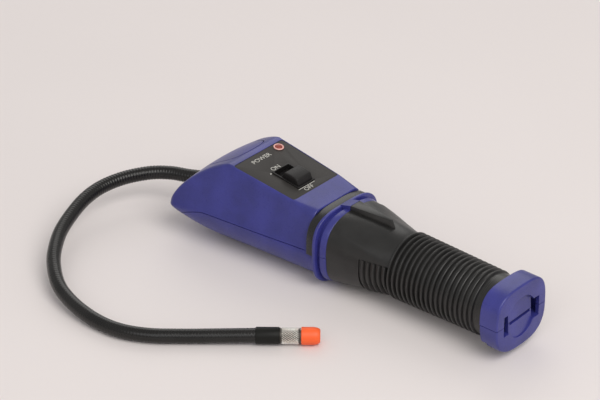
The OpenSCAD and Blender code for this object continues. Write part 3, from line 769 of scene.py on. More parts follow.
def spread(nodes, links, factor, low, high):
    """Value between two limits, by the middle part of a noise socket."""
    span = nodes.new("ShaderNodeMapRange")
    span.inputs["From Min"].default_value = 0.35
    span.inputs["From Max"].default_value = 0.65
    span.inputs["To Min"].default_value = low
    span.inputs["To Max"].default_value = high
    links.new(factor, span.inputs["Value"])
    return span.outputs["Result"]


def shade(colour, amount):
    """Lighter or darker colour."""
    return tuple(min(1.0, c * amount) for c in colour)


def moulded(name, colour, rough, grain, depth, vary=0.14, mottle=70.0, metal=0.0, stretch=None,
            gloss=0.5):
    """Moulded finish: slow colour drift, a fine grain that changes the gloss, and a shallow bump."""
    finish, nodes, links, shader, coord = finish_start(name)
    drift = spread(nodes, links, noise(nodes, links, coord, mottle, 3.0), 0.0, 1.0)
    fine = noise(nodes, links, coord, grain, 5.0, stretch)
    base = tint(nodes, links, drift, shade(colour, 1 - vary), shade(colour, 1 + vary))
    links.new(base, shader.inputs["Base Color"])
    links.new(spread(nodes, links, fine, *rough), shader.inputs["Roughness"])
    bump = nodes.new("ShaderNodeBump")
    bump.inputs["Strength"].default_value = 0.6
    bump.inputs["Distance"].default_value = depth * MM
    links.new(fine, bump.inputs["Height"])
    links.new(bump.outputs["Normal"], shader.inputs["Normal"])
    shader.inputs["Metallic"].default_value = metal
    shader.inputs["Specular IOR Level"].default_value = gloss
    return finish


def cell_finish():
    """Foil wrap of the cells: a dark body with a copper-coloured end band."""
    finish, nodes, links, shader, coord = finish_start("cell_foil_wrap")
    split = nodes.new("ShaderNodeSeparateXYZ")
    links.new(coord.outputs["Object"], split.inputs["Vector"])
    lap = nodes.new("ShaderNodeMath")
    lap.operation = "PINGPONG"
    lap.inputs[1].default_value = CELL_LEN
    links.new(split.outputs["X"], lap.inputs[0])
    band = nodes.new("ShaderNodeMapRange")
    band.inputs["From Min"].default_value = CELL_BAND[0]
    band.inputs["From Max"].default_value = CELL_BAND[1]
    links.new(lap.outputs["Value"], band.inputs["Value"])
    base = tint(nodes, links, band.outputs["Result"], FOIL_DARK, FOIL_COPPER)
    links.new(base, shader.inputs["Base Color"])
    fine = noise(nodes, links, coord, 800, 3.0, (1, 6, 6))
    links.new(spread(nodes, links, fine, 0.18, 0.34), shader.inputs["Roughness"])
    shader.inputs["Metallic"].default_value = 0.6
    return finish


def finishes():
    """All finishes of the object by name, made once."""
    if FINISHES:
        return FINISHES
    own = bpy.context.scene.detector_colours
    FINISHES.update({
        "case": moulded("case_blue_plastic", own.case, (0.27, 0.4), 2600, 0.025),
        "grip": moulded("grip_rubber", own.grip, (0.28, 0.42), 3200, 0.03, 0.25),
        "band": moulded("band_black_print", own.band, (0.25, 0.38), 1800, 0.02, 0.2),
        "label": moulded("label_matte_film", own.label, (0.55, 0.7), 4200, 0.02, 0.06),
        "ink": moulded("print_ink", own.print_ink, (0.5, 0.65), 5000, 0.01, 0.1, 400),
        "knob": moulded("knob_black_plastic", KNOB_BLACK, (0.4, 0.55), 3000, 0.03, 0.2, gloss=0.35),
        "neck": moulded("neck_black_vinyl", own.neck, (0.2, 0.32), 1500, 0.03, 0.25, gloss=0.4),
        "sleeve": moulded("sleeve_shrink_tube", SLEEVE_BLACK, (0.4, 0.55), 1800, 0.04, 0.25, gloss=0.2),
        "ferrule": moulded("ferrule_plated_steel", PLATED_STEEL, (0.16, 0.3), 2200, 0.02, 0.12, 200, 0.7),
        # Painted shade: the ferrule body is made dark so that the valleys between the knurl studs read dark
        "valley_shade": moulded("ferrule_dull_steel", VALLEY_SHADE_STEEL, (0.4, 0.6), 2200, 0.02, 0.2, 200, 1.0),
        "tip": moulded("tip_orange_plastic", own.tip, (0.38, 0.52), 2400, 0.03, 0.08),
        "bezel": moulded("bezel_pale_plastic", own.bezel, (0.2, 0.3), 2600, 0.01, 0.06),
        "lens": moulded("lens_red_plastic", own.lens, (0.35, 0.5), 1500, 0.02, 0.25, 700),
        "steel": moulded("contact_steel", CONTACT_STEEL, (0.25, 0.42), 900, 0.02, 0.1, 120, 1.0, (1, 9, 9)),
        "board": moulded("board_green_lacquer", BOARD_GREEN, (0.25, 0.4), 900, 0.03, 0.3, 240),
        "inner": moulded("inner_grey_plastic", INNER_GREY, (0.45, 0.6), 2000, 0.03, 0.1),
        "white": moulded("sensor_white_plastic", SENSOR_WHITE, (0.45, 0.6), 2200, 0.03, 0.06),
        "hose": moulded("hose_pale_rubber", HOSE_PALE, (0.35, 0.5), 1600, 0.03, 0.1),
        "cell": cell_finish(),
    })
    return FINISHES


# Rings

def ring(u, half, up, down, square_up, square_down, count=120):
    """Superellipse ring at one station, cut off at the table."""
    points = []
    for k in range(count):
        t = -math.pi / 2 + 2 * math.pi * k / count
        c, s = math.cos(t), math.sin(t)
        n = square_up if s > 0 else square_down
        h = up if s > 0 else down
        y = half * math.copysign(abs(c) ** (2 / n), c)
        z = h * math.copysign(abs(s) ** (2 / n), s)
        points.append((u, y, max(-CASE_DEPTH, z)))
    return points


def rounded_edge(u, make, along, inwards, steps):
    """Rings of a rounded edge, from its face to its side, where make gives a ring by station and inset."""
    turns = [math.pi / 2 * k / steps for k in range(steps + 1)]
    return [make(u + along * (1 - math.cos(t)), inwards * (1 - math.sin(t))) for t in turns]


def bead(u0, u1, make, r, steps=4):
    """Rings of a rib with two rounded edges."""
    return rounded_edge(u0, make, r, r, steps) + rounded_edge(u1, make, -r, r, steps)[::-1]


def wedge_ring(u, half, top):
    """Section of the thumb wedge and of the tongue that it leads into."""
    return [(u, -half - 0.8, WEDGE_FOOT), (u, half + 0.8, WEDGE_FOOT), (u, half, top), (u, -half, top)]


# Head

def nose_part(u):
    """Share of the nose that lies behind a station."""
    return clamp((u - TOP_U) / (NOSE_U - TOP_U))


def side_w(u):
    """Half width of the head at its widest level."""
    tuck = NOSE_TUCK * max(0, (u - NOSE_U + NOSE_TUCK_LEN) / NOSE_TUCK_LEN) ** 5
    return HEAD_W + HEAD_FLARE * (u - HEAD_U) - tuck


def crease_half(u):
    """Half width of the flat top."""
    return CREASE_W + CREASE_FLARE * (u - HEAD_U)


def crease_height(u):
    """Height of the flat top's plane."""
    return CREASE_Z + math.tan(TOP_SLOPE) * (u - HEAD_U)


def crease_round(u):
    """Radius of the edge beside the flat top."""
    return mix(5, 1.6, min(1, (u - HEAD_U) / 14)) + 1.6 * min(1, 4 * nose_part(u))


def top_z(u):
    """Height of the head's top beside its crown."""
    if u <= TOP_U:
        return crease_height(u)
    return TIP_Z + (crease_height(TOP_U) - TIP_Z) * (1 - nose_part(u) ** 1.25) ** 0.6


def bottom_z(u):
    """Height of the head's underside, which rises along the chin."""
    chin = clamp((u - NOSE_U + CHIN_LEN) / CHIN_LEN)
    return -CASE_DEPTH + (CASE_DEPTH + TIP_Z) * (1 - (1 - chin ** 2.17) ** 0.78)


def crown(u):
    """Height by which the nose front is domed."""
    return NOSE_CROWN * math.sin(math.pi * nose_part(u) ** 1.6)


def roof_z(u, y):
    """Height of the head's top at a station and side distance."""
    flat = crease_half(u) - crease_round(u)
    return top_z(u) + crown(u) * (1 - min(1, abs(y) / flat) ** 2)


def head_half(u, inset):
    """Half section of the head from the bottom centre over the side to the top centre."""
    zt = top_z(u) - inset
    zb = bottom_z(u) + inset
    zm = min(0, zt - 0.55 * (zt - zb))
    a = side_w(u) - inset
    draft = (side_w(u) - crease_half(u)) / crease_height(u)
    yc = a - draft * (zt - zm)
    r = min(crease_round(u), 0.45 * (zt - zm))
    slope = math.hypot(a - yc, zm - zt)
    edge = (yc + r * (a - yc) / slope, zt + r * (zm - zt) / slope)
    low_steps, side_steps, crease_steps, crown_steps = 26, 5, 9, 8
    points = []
    for k in range(low_steps + 1):
        t = math.radians(90 * k / low_steps)
        z = zm + (zb - zm - 0.4) * abs(math.cos(t)) ** (2 / LOW_SQUARE)
        points.append((a * abs(math.sin(t)) ** (2 / LOW_SQUARE), max(zb, z)))
    for k in range(1, side_steps):
        t = k / side_steps
        points.append((mix(a, edge[0], t), mix(zm, edge[1], t)))
    for k in range(crease_steps + 1):
        t = k / crease_steps
        w0, w1, w2 = (1 - t) ** 2, 2 * t * (1 - t), t * t
        points.append((w0 * edge[0] + w1 * yc + w2 * (yc - r), w0 * edge[1] + w1 * zt + w2 * zt))
    for k in range(1, crown_steps + 1):
        s = 1 - k / crown_steps
        points.append((s * (yc - r), zt + crown(u) * (1 - s * s)))
    return points


def head_ring(u, inset):
    """Whole section of the head, with the hollow's nose set back."""
    half = head_half(u + HOLLOW_BACK * inset * clamp((u - TOP_U + 10) / 10), inset)
    left = [(u, y, z) for y, z in half]
    right = [(u, -y, z) for y, z in half[-2:0:-1]]
    return left + right


def head_solid(name, inset=0.0, start=HEAD_U):
    """Closed head, or its hollow where an inset is given."""
    front = NOSE_U - HOLLOW_BACK * inset
    end = 0.9985 if inset == 0 else 0.9
    rear_steps, nose_steps = 26, 44
    stations = [mix(start + inset + 0.4, TOP_U, k / rear_steps) for k in range(rear_steps)]
    for k in range(nose_steps + 1):
        stations.append(mix(TOP_U, front, end * (1 - (1 - k / nose_steps) ** 1.9)))
    rings = [head_ring(u, inset) for u in stations]
    edge = [(start + inset, y * 0.985, z * 0.985) for _, y, z in rings[0]]
    return loft(name, [edge] + rings)


def parting_side(name, limit, gap=0.0):
    """Everything between the parting line, moved by a gap, and a height limit."""
    line = [(u, z + gap) for u, z in PARTING_LINE]
    return prism(name, line + [(line[-1][0], limit), (line[0][0], limit)], -FAR, FAR, across)


def parting_groove(name, width=0.42, depth=0.9):
    """Thin slab along the parting line, only as deep as the groove between the case halves."""
    upper = [(u, z + width / 2) for u, z in PARTING_LINE]
    lower = [(u, z - width / 2) for u, z in reversed(PARTING_LINE)]
    groove = prism(name, upper + lower, -FAR, FAR, across)
    start = block("groove_start", (-FAR, -2 * FAR, -FAR), (HEAD_U + depth + 0.6, 2 * FAR, FAR))
    return carve(groove, head_solid("groove_floor", depth), start)


def nose_groove(name, width=0.6, depth=1.3, rise=1.5):
    """Narrow slot that frames the nose front: across the flat top's front edge and down both sides."""
    half = smooth_route([(u, y, 0) for u, y in NOSE_LINE], 4)
    line = half + [(u, -y, 0) for u, y, _ in reversed(half[:-1])]
    rings = []
    last = len(line) - 1
    for i, (u, y, _) in enumerate(line):
        ahead = Vector(line[min(last, i + 1)]) - Vector(line[max(0, i - 1)])
        side = Vector((-ahead.y, ahead.x, 0)).normalized() * width / 2
        z = roof_z(u, y)
        left, right = (u + side.x, y + side.y), (u - side.x, y - side.y)
        rings.append([(*left, z - depth), (*right, z - depth), (*right, z + rise), (*left, z + rise)])
    return loft(name, rings)


# Collar

def rear_ring(u, inset):
    """Section of the collar's rear ring, which widens to the groove."""
    t = (u - COLLAR_U) / (GROOVE_U - COLLAR_U)
    sizes = [mix(a, b, t) - inset for a, b in zip(COLLAR_REAR, COLLAR_FRONT)]
    return ring(u, *sizes, mix(2.7, 2.9, t), 2.8)


def groove_ring(u):
    """Section of the groove's floor."""
    return ring(u, *(size - GROOVE_D for size in COLLAR_MID), 2.95, 2.8)


def flange_ring(u, inset):
    """Section of the flange before the band."""
    up, down = CREASE_Z + FLANGE_RISE, CASE_DEPTH + FLANGE_RISE
    return ring(u, FLANGE_HALF - inset, up - inset, down - inset, 3.4, 3)


def band_ring(u, inset):
    """Section of the band's outside, or of its inside where the inset is its thickness."""
    down = CASE_DEPTH - 0.1
    return ring(u, HEAD_W - inset, BAND_TOP - inset, down - inset, BAND_SQUARE, LOW_SQUARE)


def collar_solid(name):
    """Rear ring, groove, flange and the core under the band."""
    core = (HEAD_W - BAND_T, BAND_TOP - BAND_T, CASE_DEPTH - 2)
    inner = [size - 2.2 for size in core]
    rings = bead(COLLAR_U, GROOVE_U, rear_ring, 0.7)
    rings += [groove_ring(GROOVE_U), groove_ring(FLANGE_U)]
    rings += bead(FLANGE_U, BAND_U, flange_ring, 0.6)
    rings.append(ring(BAND_U, *core, BAND_SQUARE, LOW_SQUARE))
    rings.append(ring(HEAD_U + 1, *inner, BAND_SQUARE, LOW_SQUARE))
    return loft(name, rings)


def collar_tongue():
    """Tongue on the collar's top, which the thumb wedge leads into."""
    return loft("collar_tongue", [wedge_ring(COLLAR_U, TONGUE_HALF, TONGUE_Z),
                                  wedge_ring(FLANGE_U + 1, TONGUE_HALF, TONGUE_FRONT_Z)])


def collar_bay():
    """Cutter for the hollow of the collar, a little below the handle axis."""
    def lowered(point):
        return (point[0], point[1], point[2] - COLLAR_BAY_DROP)

    return rod("collar_bay", COLLAR_U + 2, HEAD_U + WALL + 2, COLLAR_BAY_R, lowered, 64)


# End cap and handle tube

def recess_ring(near, far, steps=96):
    """Ring of the round recess, from its depth at the lower near side to that at the upper far side."""
    points = []
    for k in range(steps):
        t = 2 * math.pi * k / steps
        share = 0.5 + 0.5 * math.cos(t - RECESS_TURN)
        points.append((mix(near, far, share), RECESS_R * math.cos(t), RECESS_R * math.sin(t)))
    return points


def cap_ring(u, inset):
    """Section of the end cap."""
    return ring(u, CAP_W - inset, CAP_TOP - inset, CAP_BOTTOM - inset, *CAP_SQUARE)


def strap_openings():
    """Cutters for the strap: two slots, the pockets beside them and the tunnel behind the bar."""
    high = SLOT_H / 2
    deep = STRAP_BAR + TUNNEL_D
    pocket_y = CAP_W - POCKET_WALL
    cutters = side_blocks("slot_pocket", (POCKET_U[0], SLOT_Y, -high), (POCKET_U[1], pocket_y, high))
    for y in (-SLOT_Y - SLOT_W, SLOT_Y):
        slot = rounded_box((y, -high), (y + SLOT_W, high), 0.6)
        cutters.append(prism("strap_slot", slot, -1, deep, lengthwise))
    cutters.append(block("strap_tunnel", (STRAP_BAR, -SLOT_Y - 0.5, -high), (deep, SLOT_Y + 0.5, high)))
    return cutters


def cap_solid(name, length):
    """End cap with a rounded rear edge, its round recess and its strap slots."""
    rings = rounded_edge(0, cap_ring, *CAP_EDGE, 7)
    rings += [cap_ring(length - 0.3, 0), cap_ring(length, 0.25)]
    recess = loft("cap_recess", [recess_ring(-1, -1), recess_ring(*RECESS_DEPTHS)])
    return carve(loft(name, rings), recess, *strap_openings())


def half_tube(name, u0, u1, start):
    """Half of the handle tube, from an angle of 0 for the upper and 180 for the lower half."""
    steps = 48
    turns = [math.radians(start + 180 * k / steps) for k in range(steps + 1)]
    outline = [(TUBE_R * math.cos(t), TUBE_R * math.sin(t)) for t in turns]
    outline += [(BAY_R * math.cos(t), BAY_R * math.sin(t)) for t in reversed(turns)]
    return prism(name, outline, u0, u1, lengthwise)


def door_rails(gap=0.0):
    """Hook rails of the battery door as solids, or their slots where a gap is given."""
    u0 = CAP_LEN + 1 - 4 * gap
    u1 = COLLAR_U - 1 + 8 * gap
    top = 1.0 if gap else 0.5
    low, inner, outer = RAIL_LOW - gap, RAIL_Y - gap, RAIL_Y + RAIL_T + gap
    foot_top = RAIL_LOW + RAIL_FOOT + gap
    return (side_blocks("rail", (u0, inner, low), (u1, outer, top))
            + side_blocks("rail_foot", (u0, inner - RAIL_FOOT, low), (u1, outer, foot_top)))


def door_notches():
    """Cutters in the door's cap half: finger notch, corner notches and the gap across the recess."""
    u0, u1 = CAP_LEN - NOTCH_LEN, CAP_LEN + FAR
    finger = block("finger_notch", (u0, -FINGER_HALF, -FAR), (u1, FINGER_HALF, FINGER_H - CAP_BOTTOM))
    corner_top = CORNER_H - CAP_BOTTOM
    corners = side_blocks("corner_notch", (u0, CORNER_Y[0], -FAR), (u1, CORNER_Y[1], corner_top))
    gap = block("latch_gap", (-2, -LATCH_HALF, -LATCH_H), (STRAP_BAR + 1, LATCH_HALF, 0))
    return [finger, *corners, gap]


# Openings of the case

def label_outline(margin=0.0):
    """Label outline in the frame of the flat top, with rounded corners."""
    r, c = LABEL_CORNER, math.cos(TOP_SLOPE)
    x0 = LABEL_REAR / c + margin + r
    x1 = LABEL_FRONT / c - margin - r
    y0 = crease_half(HEAD_U + LABEL_REAR) - 1.3 - margin - r
    y1 = crease_half(HEAD_U + LABEL_FRONT) - 1.1 - margin - r
    return round_corners([(x1, y1), (x0, y0), (x0, -y0), (x1, -y1)], r)


def switch_outline(margin=0.0):
    """Outline of the switch window in the frame of the flat top."""
    half_x, half_y = SWITCH_LEN / 2 + margin, SWITCH_W / 2 + margin
    return rounded_box((SWITCH_X - half_x, SWITCH_Y - half_y), (SWITCH_X + half_x, SWITCH_Y + half_y), 0.8)


def top_openings():
    """Cutters in the flat top: the label's pocket, the switch window and the hole of the light."""
    return [
        prism("label_pocket", label_outline(-0.12), -LABEL_T, 4, out_of_top),
        prism("switch_window", switch_outline(0.1), -6, 4, out_of_top),
        rod("light_hole", -6, 4, LIGHT_HOLE_R, light_frame),
    ]


def gland_openings():
    """Cutters in the nose: the gland's hole and the seat of its flange."""
    return [
        rod("gland_hole", NOSE_U - 14, NOSE_U + 6, GLAND_R + GLAND_GAP, along_probe, 48),
        rod("gland_seat", NOSE_U - 1.8, NOSE_U + 6, GLAND_FLANGE_R + 2 * GLAND_GAP, along_probe, 64),
    ]


def add_screw_post(case, u, y):
    """Boss of one case screw, with its well from below and its bore."""
    def upright(point):
        return (u + point[1], y + point[2], point[0])

    post = rod("screw_boss", *BOSS_SPAN, BOSS_R, upright)
    carve(post, head_solid("boss_limit", WALL / 2), operation="INTERSECT")
    weld(case, post)
    carve(case, rod("screw_well", -FAR, SCREW_SEAT, WELL_R, upright))
    carve(case, rod("screw_bore", -FAR, 5, BORE_R, upright, 32))


class DETECTOR_OT_upper_case(bpy.types.Operator):
    """Upper case half with the nose, collar top, handle tube and cap top"""

    bl_idname = "detector.upper_case"
    bl_label = "Upper case"

    def execute(self, context):
        case = head_solid("case_upper")
        weld(case, collar_solid("collar_upper"), collar_tongue())
        carve(case, parting_side("below_parting", -FAR), head_solid("head_hollow", WALL))
        carve(case, parting_groove("upper_groove"), nose_groove("nose_frame"), collar_bay())
        weld(case, cut_below(cap_solid("cap_upper", CAP_LEN), 0))
        weld(case, half_tube("tube_upper", CAP_LEN - OVERLAP, COLLAR_U + OVERLAP, 0), *door_rails())
        carve(case, *top_openings(), *gland_openings())
        dress(case, "case", ["upper_case"], finishes()["case"], 28)
        return {"FINISHED"}


class DETECTOR_OT_lower_case(bpy.types.Operator):
    """Lower case half with the screw recesses"""

    bl_idname = "detector.lower_case"
    bl_label = "Lower case"

    def execute(self, context):
        case = weld(head_solid("case_lower", 0.0, BAND_U - 0.5), collar_solid("collar_lower"))
        carve(case, parting_side("above_parting", FAR, -0.02), head_solid("head_hollow", WALL))
        carve(case, parting_groove("lower_groove"), collar_bay())
        carve(case, *side_blocks("collar_seam", (COLLAR_U - 1, SEAM_Y, -SPLIT_GAP), (GROOVE_U, FAR, 1)))
        notch_y = HEAD_W - BAND_T - 0.2
        carve(case, *side_blocks("band_notch", (BAND_U, notch_y, BAND_LOW), (HEAD_U, HEAD_W + 5, 5)))
        for u, y in SCREW_AT:
            for side in (-1, 1):
                add_screw_post(case, u, side * y)
        dress(case, "case", ["lower_case"], finishes()["case"], 28)
        return {"FINISHED"}


class DETECTOR_OT_battery_door(bpy.types.Operator):
    """Battery door: lower cap half and lower handle tube"""

    bl_idname = "detector.battery_door"
    bl_label = "Battery door"

    def execute(self, context):
        cap_end = CAP_LEN - SPLIT_GAP
        door = cut_above(cap_solid("door", cap_end), -SPLIT_GAP)
        carve(door, *door_notches())
        tube = half_tube("tube_lower", cap_end - OVERLAP, DOOR_END, 180)
        weld(door, cut_above(tube, -SPLIT_GAP))
        carve(door, *door_rails(RAIL_GAP))
        dress(door, "door", ["battery_door"], finishes()["case"], 28)
        return {"FINISHED"}


# Grip

def flare_ring(u, ribs_end, grow_by=0.0):
    """Section of the grip, round at the ribs and squarer at the collar, with a thumb scoop and a fold."""
    t = clamp((u - ribs_end) / (COLLAR_U - ribs_end))
    e = t ** 1.15
    half = mix(VALLEY_R, FLARE_HALF, e)
    up = mix(VALLEY_R, FLARE_UP, t ** 0.75)
    down = mix(VALLEY_R, FLARE_DOWN, e)
    scoop = SCOOP_SHARE * math.sin(math.pi * clamp((t - 0.05) / 0.9))
    fold = FOLD_SHARE * t * clamp((0.94 - t) / 0.07)
    points = []
    for _, y, z in ring(u, half, up, down, *(mix(2, n, e) for n in FLARE_SQUARE)):
        lean = math.degrees(math.atan2(z, abs(y)))
        f = 1 - scoop * bell(lean, SCOOP_LEAN, SCOOP_SPREAD) + grow_by / math.hypot(y, z)
        f += fold * bell(lean, mix(*FOLD_LEANS, t), FOLD_SPREAD)
        points.append((u, y * f, z * f))
    return points


def grip_core(name, ribs_end):
    """Plain barrel and flare under the ribs."""
    rings = []
    for u, r in ((CAP_LEN, PLAIN_R), (RIB_U - 1.7, PLAIN_R), (RIB_U - 1.4, VALLEY_R)):
        rings.append([(u, y * r / VALLEY_R, z * r / VALLEY_R) for _, y, z in flare_ring(u, ribs_end)])
    steps = 34
    for k in range(steps + 1):
        rings.append(flare_ring(mix(ribs_end - 1, COLLAR_U, k / steps), ribs_end))
    return loft(name, rings)


def thumb_wedge(name):
    """Wedge that leads from the grip's top into the collar tongue."""
    tip_u = COLLAR_U - WEDGE_LEN
    wedge = loft(name, [wedge_ring(tip_u - 2.4, 0.4, WEDGE_TOP - 3.2), wedge_ring(tip_u, 0.7, WEDGE_TOP),
                        wedge_ring(COLLAR_U, TONGUE_HALF, TONGUE_Z)])
    return soften(wedge, 0.35, 2)


def rib_profile(u):
    """Closed outline of one rib with a rounded crest, as station and radius."""
    low = TUBE_R + 0.1
    foot = VALLEY_R - 0.05
    crest = GRIP_R - VALLEY_R
    u0, u1 = u - RIB_BASE_W / 2, u + RIB_BASE_W / 2
    steps = 6
    outline = [(u0, low), (u0, foot)]
    for k in range(steps + 1):
        t = math.pi * k / steps
        outline.append((u - RIB_CREST_HALF * math.cos(t), VALLEY_R + crest * (0.55 + 0.45 * math.sin(t))))
    return outline + [(u1, foot), (u1, low)]


def rib_zone(name, u0, u1, top):
    """Cutter that lowers the flare between the short ribs."""
    zone = block(name, (u0 - 0.4, -FAR, -FAR), (u1, FAR, top))
    steps = 8
    rings = [flare_ring(mix(u0 - 2, u1 + 2, k / steps), u0, -SHORT_RIB_SINK) for k in range(steps + 1)]
    return carve(zone, loft("zone_floor", rings))


def taper_rubber(grip, ribs_end):
    """Makes the rubber thinner at the cap and thicker at the flare, and leaves it as it is at the collar."""
    axis = place((BODY_LEN / 2, 0, 0))
    for v in grip.data.vertices:
        u = v.co.x / MM + BODY_LEN / 2
        flat = Vector((0, v.co.y - axis.y, v.co.z - axis.z))
        run = clamp((u - CAP_LEN) / (ribs_end - CAP_LEN))
        over = clamp((u - ribs_end) / (COLLAR_U - ribs_end))
        share = mix(mix(CAP_RUBBER, FLARE_RUBBER, run), 1.0, over)
        r = flat.length / MM
        thick = max(0.0, r - TUBE_R)
        v.co += flat * ((share - 1) * thick / r)


def add_short_ribs(grip, ribs_end, pitch):
    """Short ribs below the thumb rest, in a zone that is lowered for them."""
    shape = bpy.context.scene.detector_grip
    top = shape.short_top / MM
    carve(grip, rib_zone("rib_zone", ribs_end, ribs_end + (shape.short_count + 0.25) * pitch, top))
    for k in range(shape.short_count):
        u = ribs_end + (k + 0.5) * pitch
        rib = loft("short_rib", [flare_ring(u + d, ribs_end, h) for d, h in SHORT_RIB])
        weld(grip, cut_above(rib, top))


def grip_solid(name):
    """Whole rubber grip before it is cut in two."""
    shape = bpy.context.scene.detector_grip
    pitch = shape.rib_pitch / MM
    ribs_end = RIB_U + shape.rib_count * pitch
    grip = grip_core(name, ribs_end)
    ribs = lathe("ribs", rib_profile(RIB_U + pitch / 2), station, 120, True)
    weld(grip, repeat(ribs, finishes()["grip"], Count=shape.rib_count, Pitch=shape.rib_pitch))
    add_short_ribs(grip, ribs_end, pitch)
    weld(grip, thumb_wedge("wedge"))
    carve(grip, rod("tube_bore", CAP_LEN - 1, COLLAR_U + 1, TUBE_R, station, 120))
    return grip, ribs_end


class DETECTOR_OT_grips(bpy.types.Operator):
    """Ribbed rubber on the two handle halves"""

    bl_idname = "detector.grips"
    bl_label = "Grips"

    def execute(self, context):
        rubber = finishes()["grip"]
        upper, ribs_end = grip_solid("grip_upper")
        taper_rubber(cut_below(upper, 0), ribs_end)
        dress(upper, "case", ["upper_grip"], rubber, 30)
        lower, ribs_end = grip_solid("grip_lower")
        carve(lower, block("door_front", (DOOR_END, -FAR, -FAR), (HEAD_U, FAR, FAR)))
        taper_rubber(cut_above(lower, -GRIP_GAP), ribs_end)
        dress(lower, "door", ["lower_grip"], rubber, 30)
        return {"FINISHED"}


class DETECTOR_OT_collar_band(bpy.types.Operator):
    """Bare black band in the collar"""

    bl_idname = "detector.collar_band"
    bl_label = "Collar band"

    def execute(self, context):
        band = loft("band", bead(BAND_U + BAND_GAP, HEAD_U - BAND_GAP, band_ring, 0.3, 3))
        carve(band, loft("band_inside", [band_ring(u, BAND_T) for u in (BAND_U - 1, HEAD_U + 1)]))
        cut_below(band, BAND_LOW + BAND_GAP)
        dress(band, "case", ["collar_band"], finishes()["band"])
        return {"FINISHED"}


# Label, light and switch

def lettering(name, words, u, y_left, y_right):
    """Flat lettering on the label, its foot at a station and spanning two side distances."""
    curve = bpy.data.curves.new(name, "FONT")
    curve.body = words
    curve.size = 1.0
    curve.extrude = 0.015
    source = add_object(name + "_curve", curve)
    mesh = evaluated_mesh(source)
    bpy.data.objects.remove(source)
    bpy.data.curves.remove(curve)
    x = (u - HEAD_U) / math.cos(TOP_SLOPE)
    low = min(v.co.x for v in mesh.vertices)
    wide = max(v.co.x for v in mesh.vertices) - low
    scale = (y_left - y_right) / wide
    for v in mesh.vertices:
        local = (x + v.co.y * scale, y_left - (v.co.x - low) * scale, LABEL_TOP + 0.03 + v.co.z)
        v.co = place(on_top(local))
    return add_object(name, mesh)


def switch_mark(name, low, high, r):
    """Printed mark on the label between two flat corners."""
    return prism(name, rounded_box(low, high, r), LABEL_TOP - 0.02, LABEL_TOP + 0.04, out_of_top)


class DETECTOR_OT_label(bpy.types.Operator):
    """Label plate with its plain lettering and switch marks"""

    bl_idname = "detector.label"
    bl_label = "Label"

    def execute(self, context):
        made = finishes()
        label = prism("label", label_outline(), -LABEL_T + 0.02, LABEL_TOP, out_of_top)
        carve(label, prism("label_window", switch_outline(), -3, 3, out_of_top))
        carve(label, rod("label_hole", -3, 3, LIGHT_HOLE_R - 0.03, light_frame))
        soften(label, 0.12, 2)
        dress(label, "case", ["label_panel"], made["label"])
        prints = [lettering(*word) for word in WORDS]
        line_x = SWITCH_X - SWITCH_LEN / 2 - 1.3
        prints.append(switch_mark("print_off_line", (line_x - 0.2, SWITCH_Y - 6.2),
                                  (line_x + 0.2, SWITCH_Y + 7.6), 0.15))
        dot_x, dot_y = SWITCH_X + SWITCH_LEN / 2 + 0.4, SWITCH_Y + SWITCH_W / 2 + 1.6
        prints.append(switch_mark("print_on_dot", (dot_x - 0.5, dot_y - 0.5),
                                  (dot_x + 0.5, dot_y + 0.5), 0.45))
        for mark in prints:
            dress(mark, "case", [], made["ink"])
        return {"FINISHED"}


def bezel_solid(name):
    """Ring round the light, with a rounded rim and a sleeve down into the case."""
    inner, sleeve, foot = 2.1, 2.7, -3.4
    profile = [(foot, sleeve), (0, sleeve), (0, sleeve + 0.3)]
    profile += arc(0.1, inner + 0.5, 0.5, 0.5, 8, 180)
    profile += [(-0.2, inner), (foot, inner)]
    return lathe(name, profile, light_frame, 48, True)


def lens_solid(name):
    """Lens with a domed top and a stem that reaches down to the board."""
    dome = [(x, max(0.05, r)) for x, r in arc(0.2, 0, 1.0, LENS_R, 8)]
    return lathe(name, [(-10.6, LENS_R)] + dome, light_frame, 40)


class DETECTOR_OT_power_light(bpy.types.Operator):
    """Ring and lens of the power light"""

    bl_idname = "detector.power_light"
    bl_label = "Power light"

    def execute(self, context):
        made = finishes()
        dress(bezel_solid("light_ring"), "case", ["led_bezel"], made["bezel"])
        dress(lens_solid("light_lens"), "case", ["led_lens"], made["lens"])
        return {"FINISHED"}


def knob_outline():
    """Side view of the knob: an upright foot, leaning ends and a crowned top."""
    steps = 14
    outline = [(0, KNOB_FOOT), (0, KNOB_SHOULDER)]
    for k in range(steps + 1):
        t = k / steps
        x = mix(KNOB_LEAN, KNOB_LEN - KNOB_LEAN, t)
        outline.append((x, KNOB_H + KNOB_CROWN * math.sin(math.pi * t)))
    return outline + [(KNOB_LEN, KNOB_SHOULDER), (KNOB_LEN, KNOB_FOOT)]


class DETECTOR_OT_switch_knob(bpy.types.Operator):
    """Thumb knob of the slide switch and the rim it slides in"""

    bl_idname = "detector.switch_knob"
    bl_label = "Switch knob"

    def execute(self, context):
        black = finishes()["knob"]
        x0 = SWITCH_X - SWITCH_LEN / 2 + SPLIT_GAP
        half = SWITCH_W / 2 - SPLIT_GAP
        outline = [(x0 + x, z) for x, z in knob_outline()]
        knob = prism("knob", outline, SWITCH_Y - half, SWITCH_Y + half, across_top)
        soften(knob, 0.7, 4, 25)
        mid = x0 + KNOB_LEN / 2
        stem = rectangle((mid - 1.5, SWITCH_Y - 2), (mid + 1.5, SWITCH_Y + 2))
        weld(knob, prism("knob_stem", stem, STEM_FOOT, KNOB_FOOT + 0.2, out_of_top))
        dress(knob, "knob", ["switch_knob"], black)
        rim = soften(prism("switch_rim", switch_outline(0.8), LABEL_TOP - 0.02, 0.7, out_of_top), 0.3)
        weld(rim, prism("rim_liner", switch_outline(0.08), STEM_FOOT, 0.5, out_of_top))
        carve(rim, prism("rim_opening", switch_outline(-0.08), -8, 3, out_of_top))
        dress(rim, "case", [], black)
        return {"FINISHED"}


# Probe

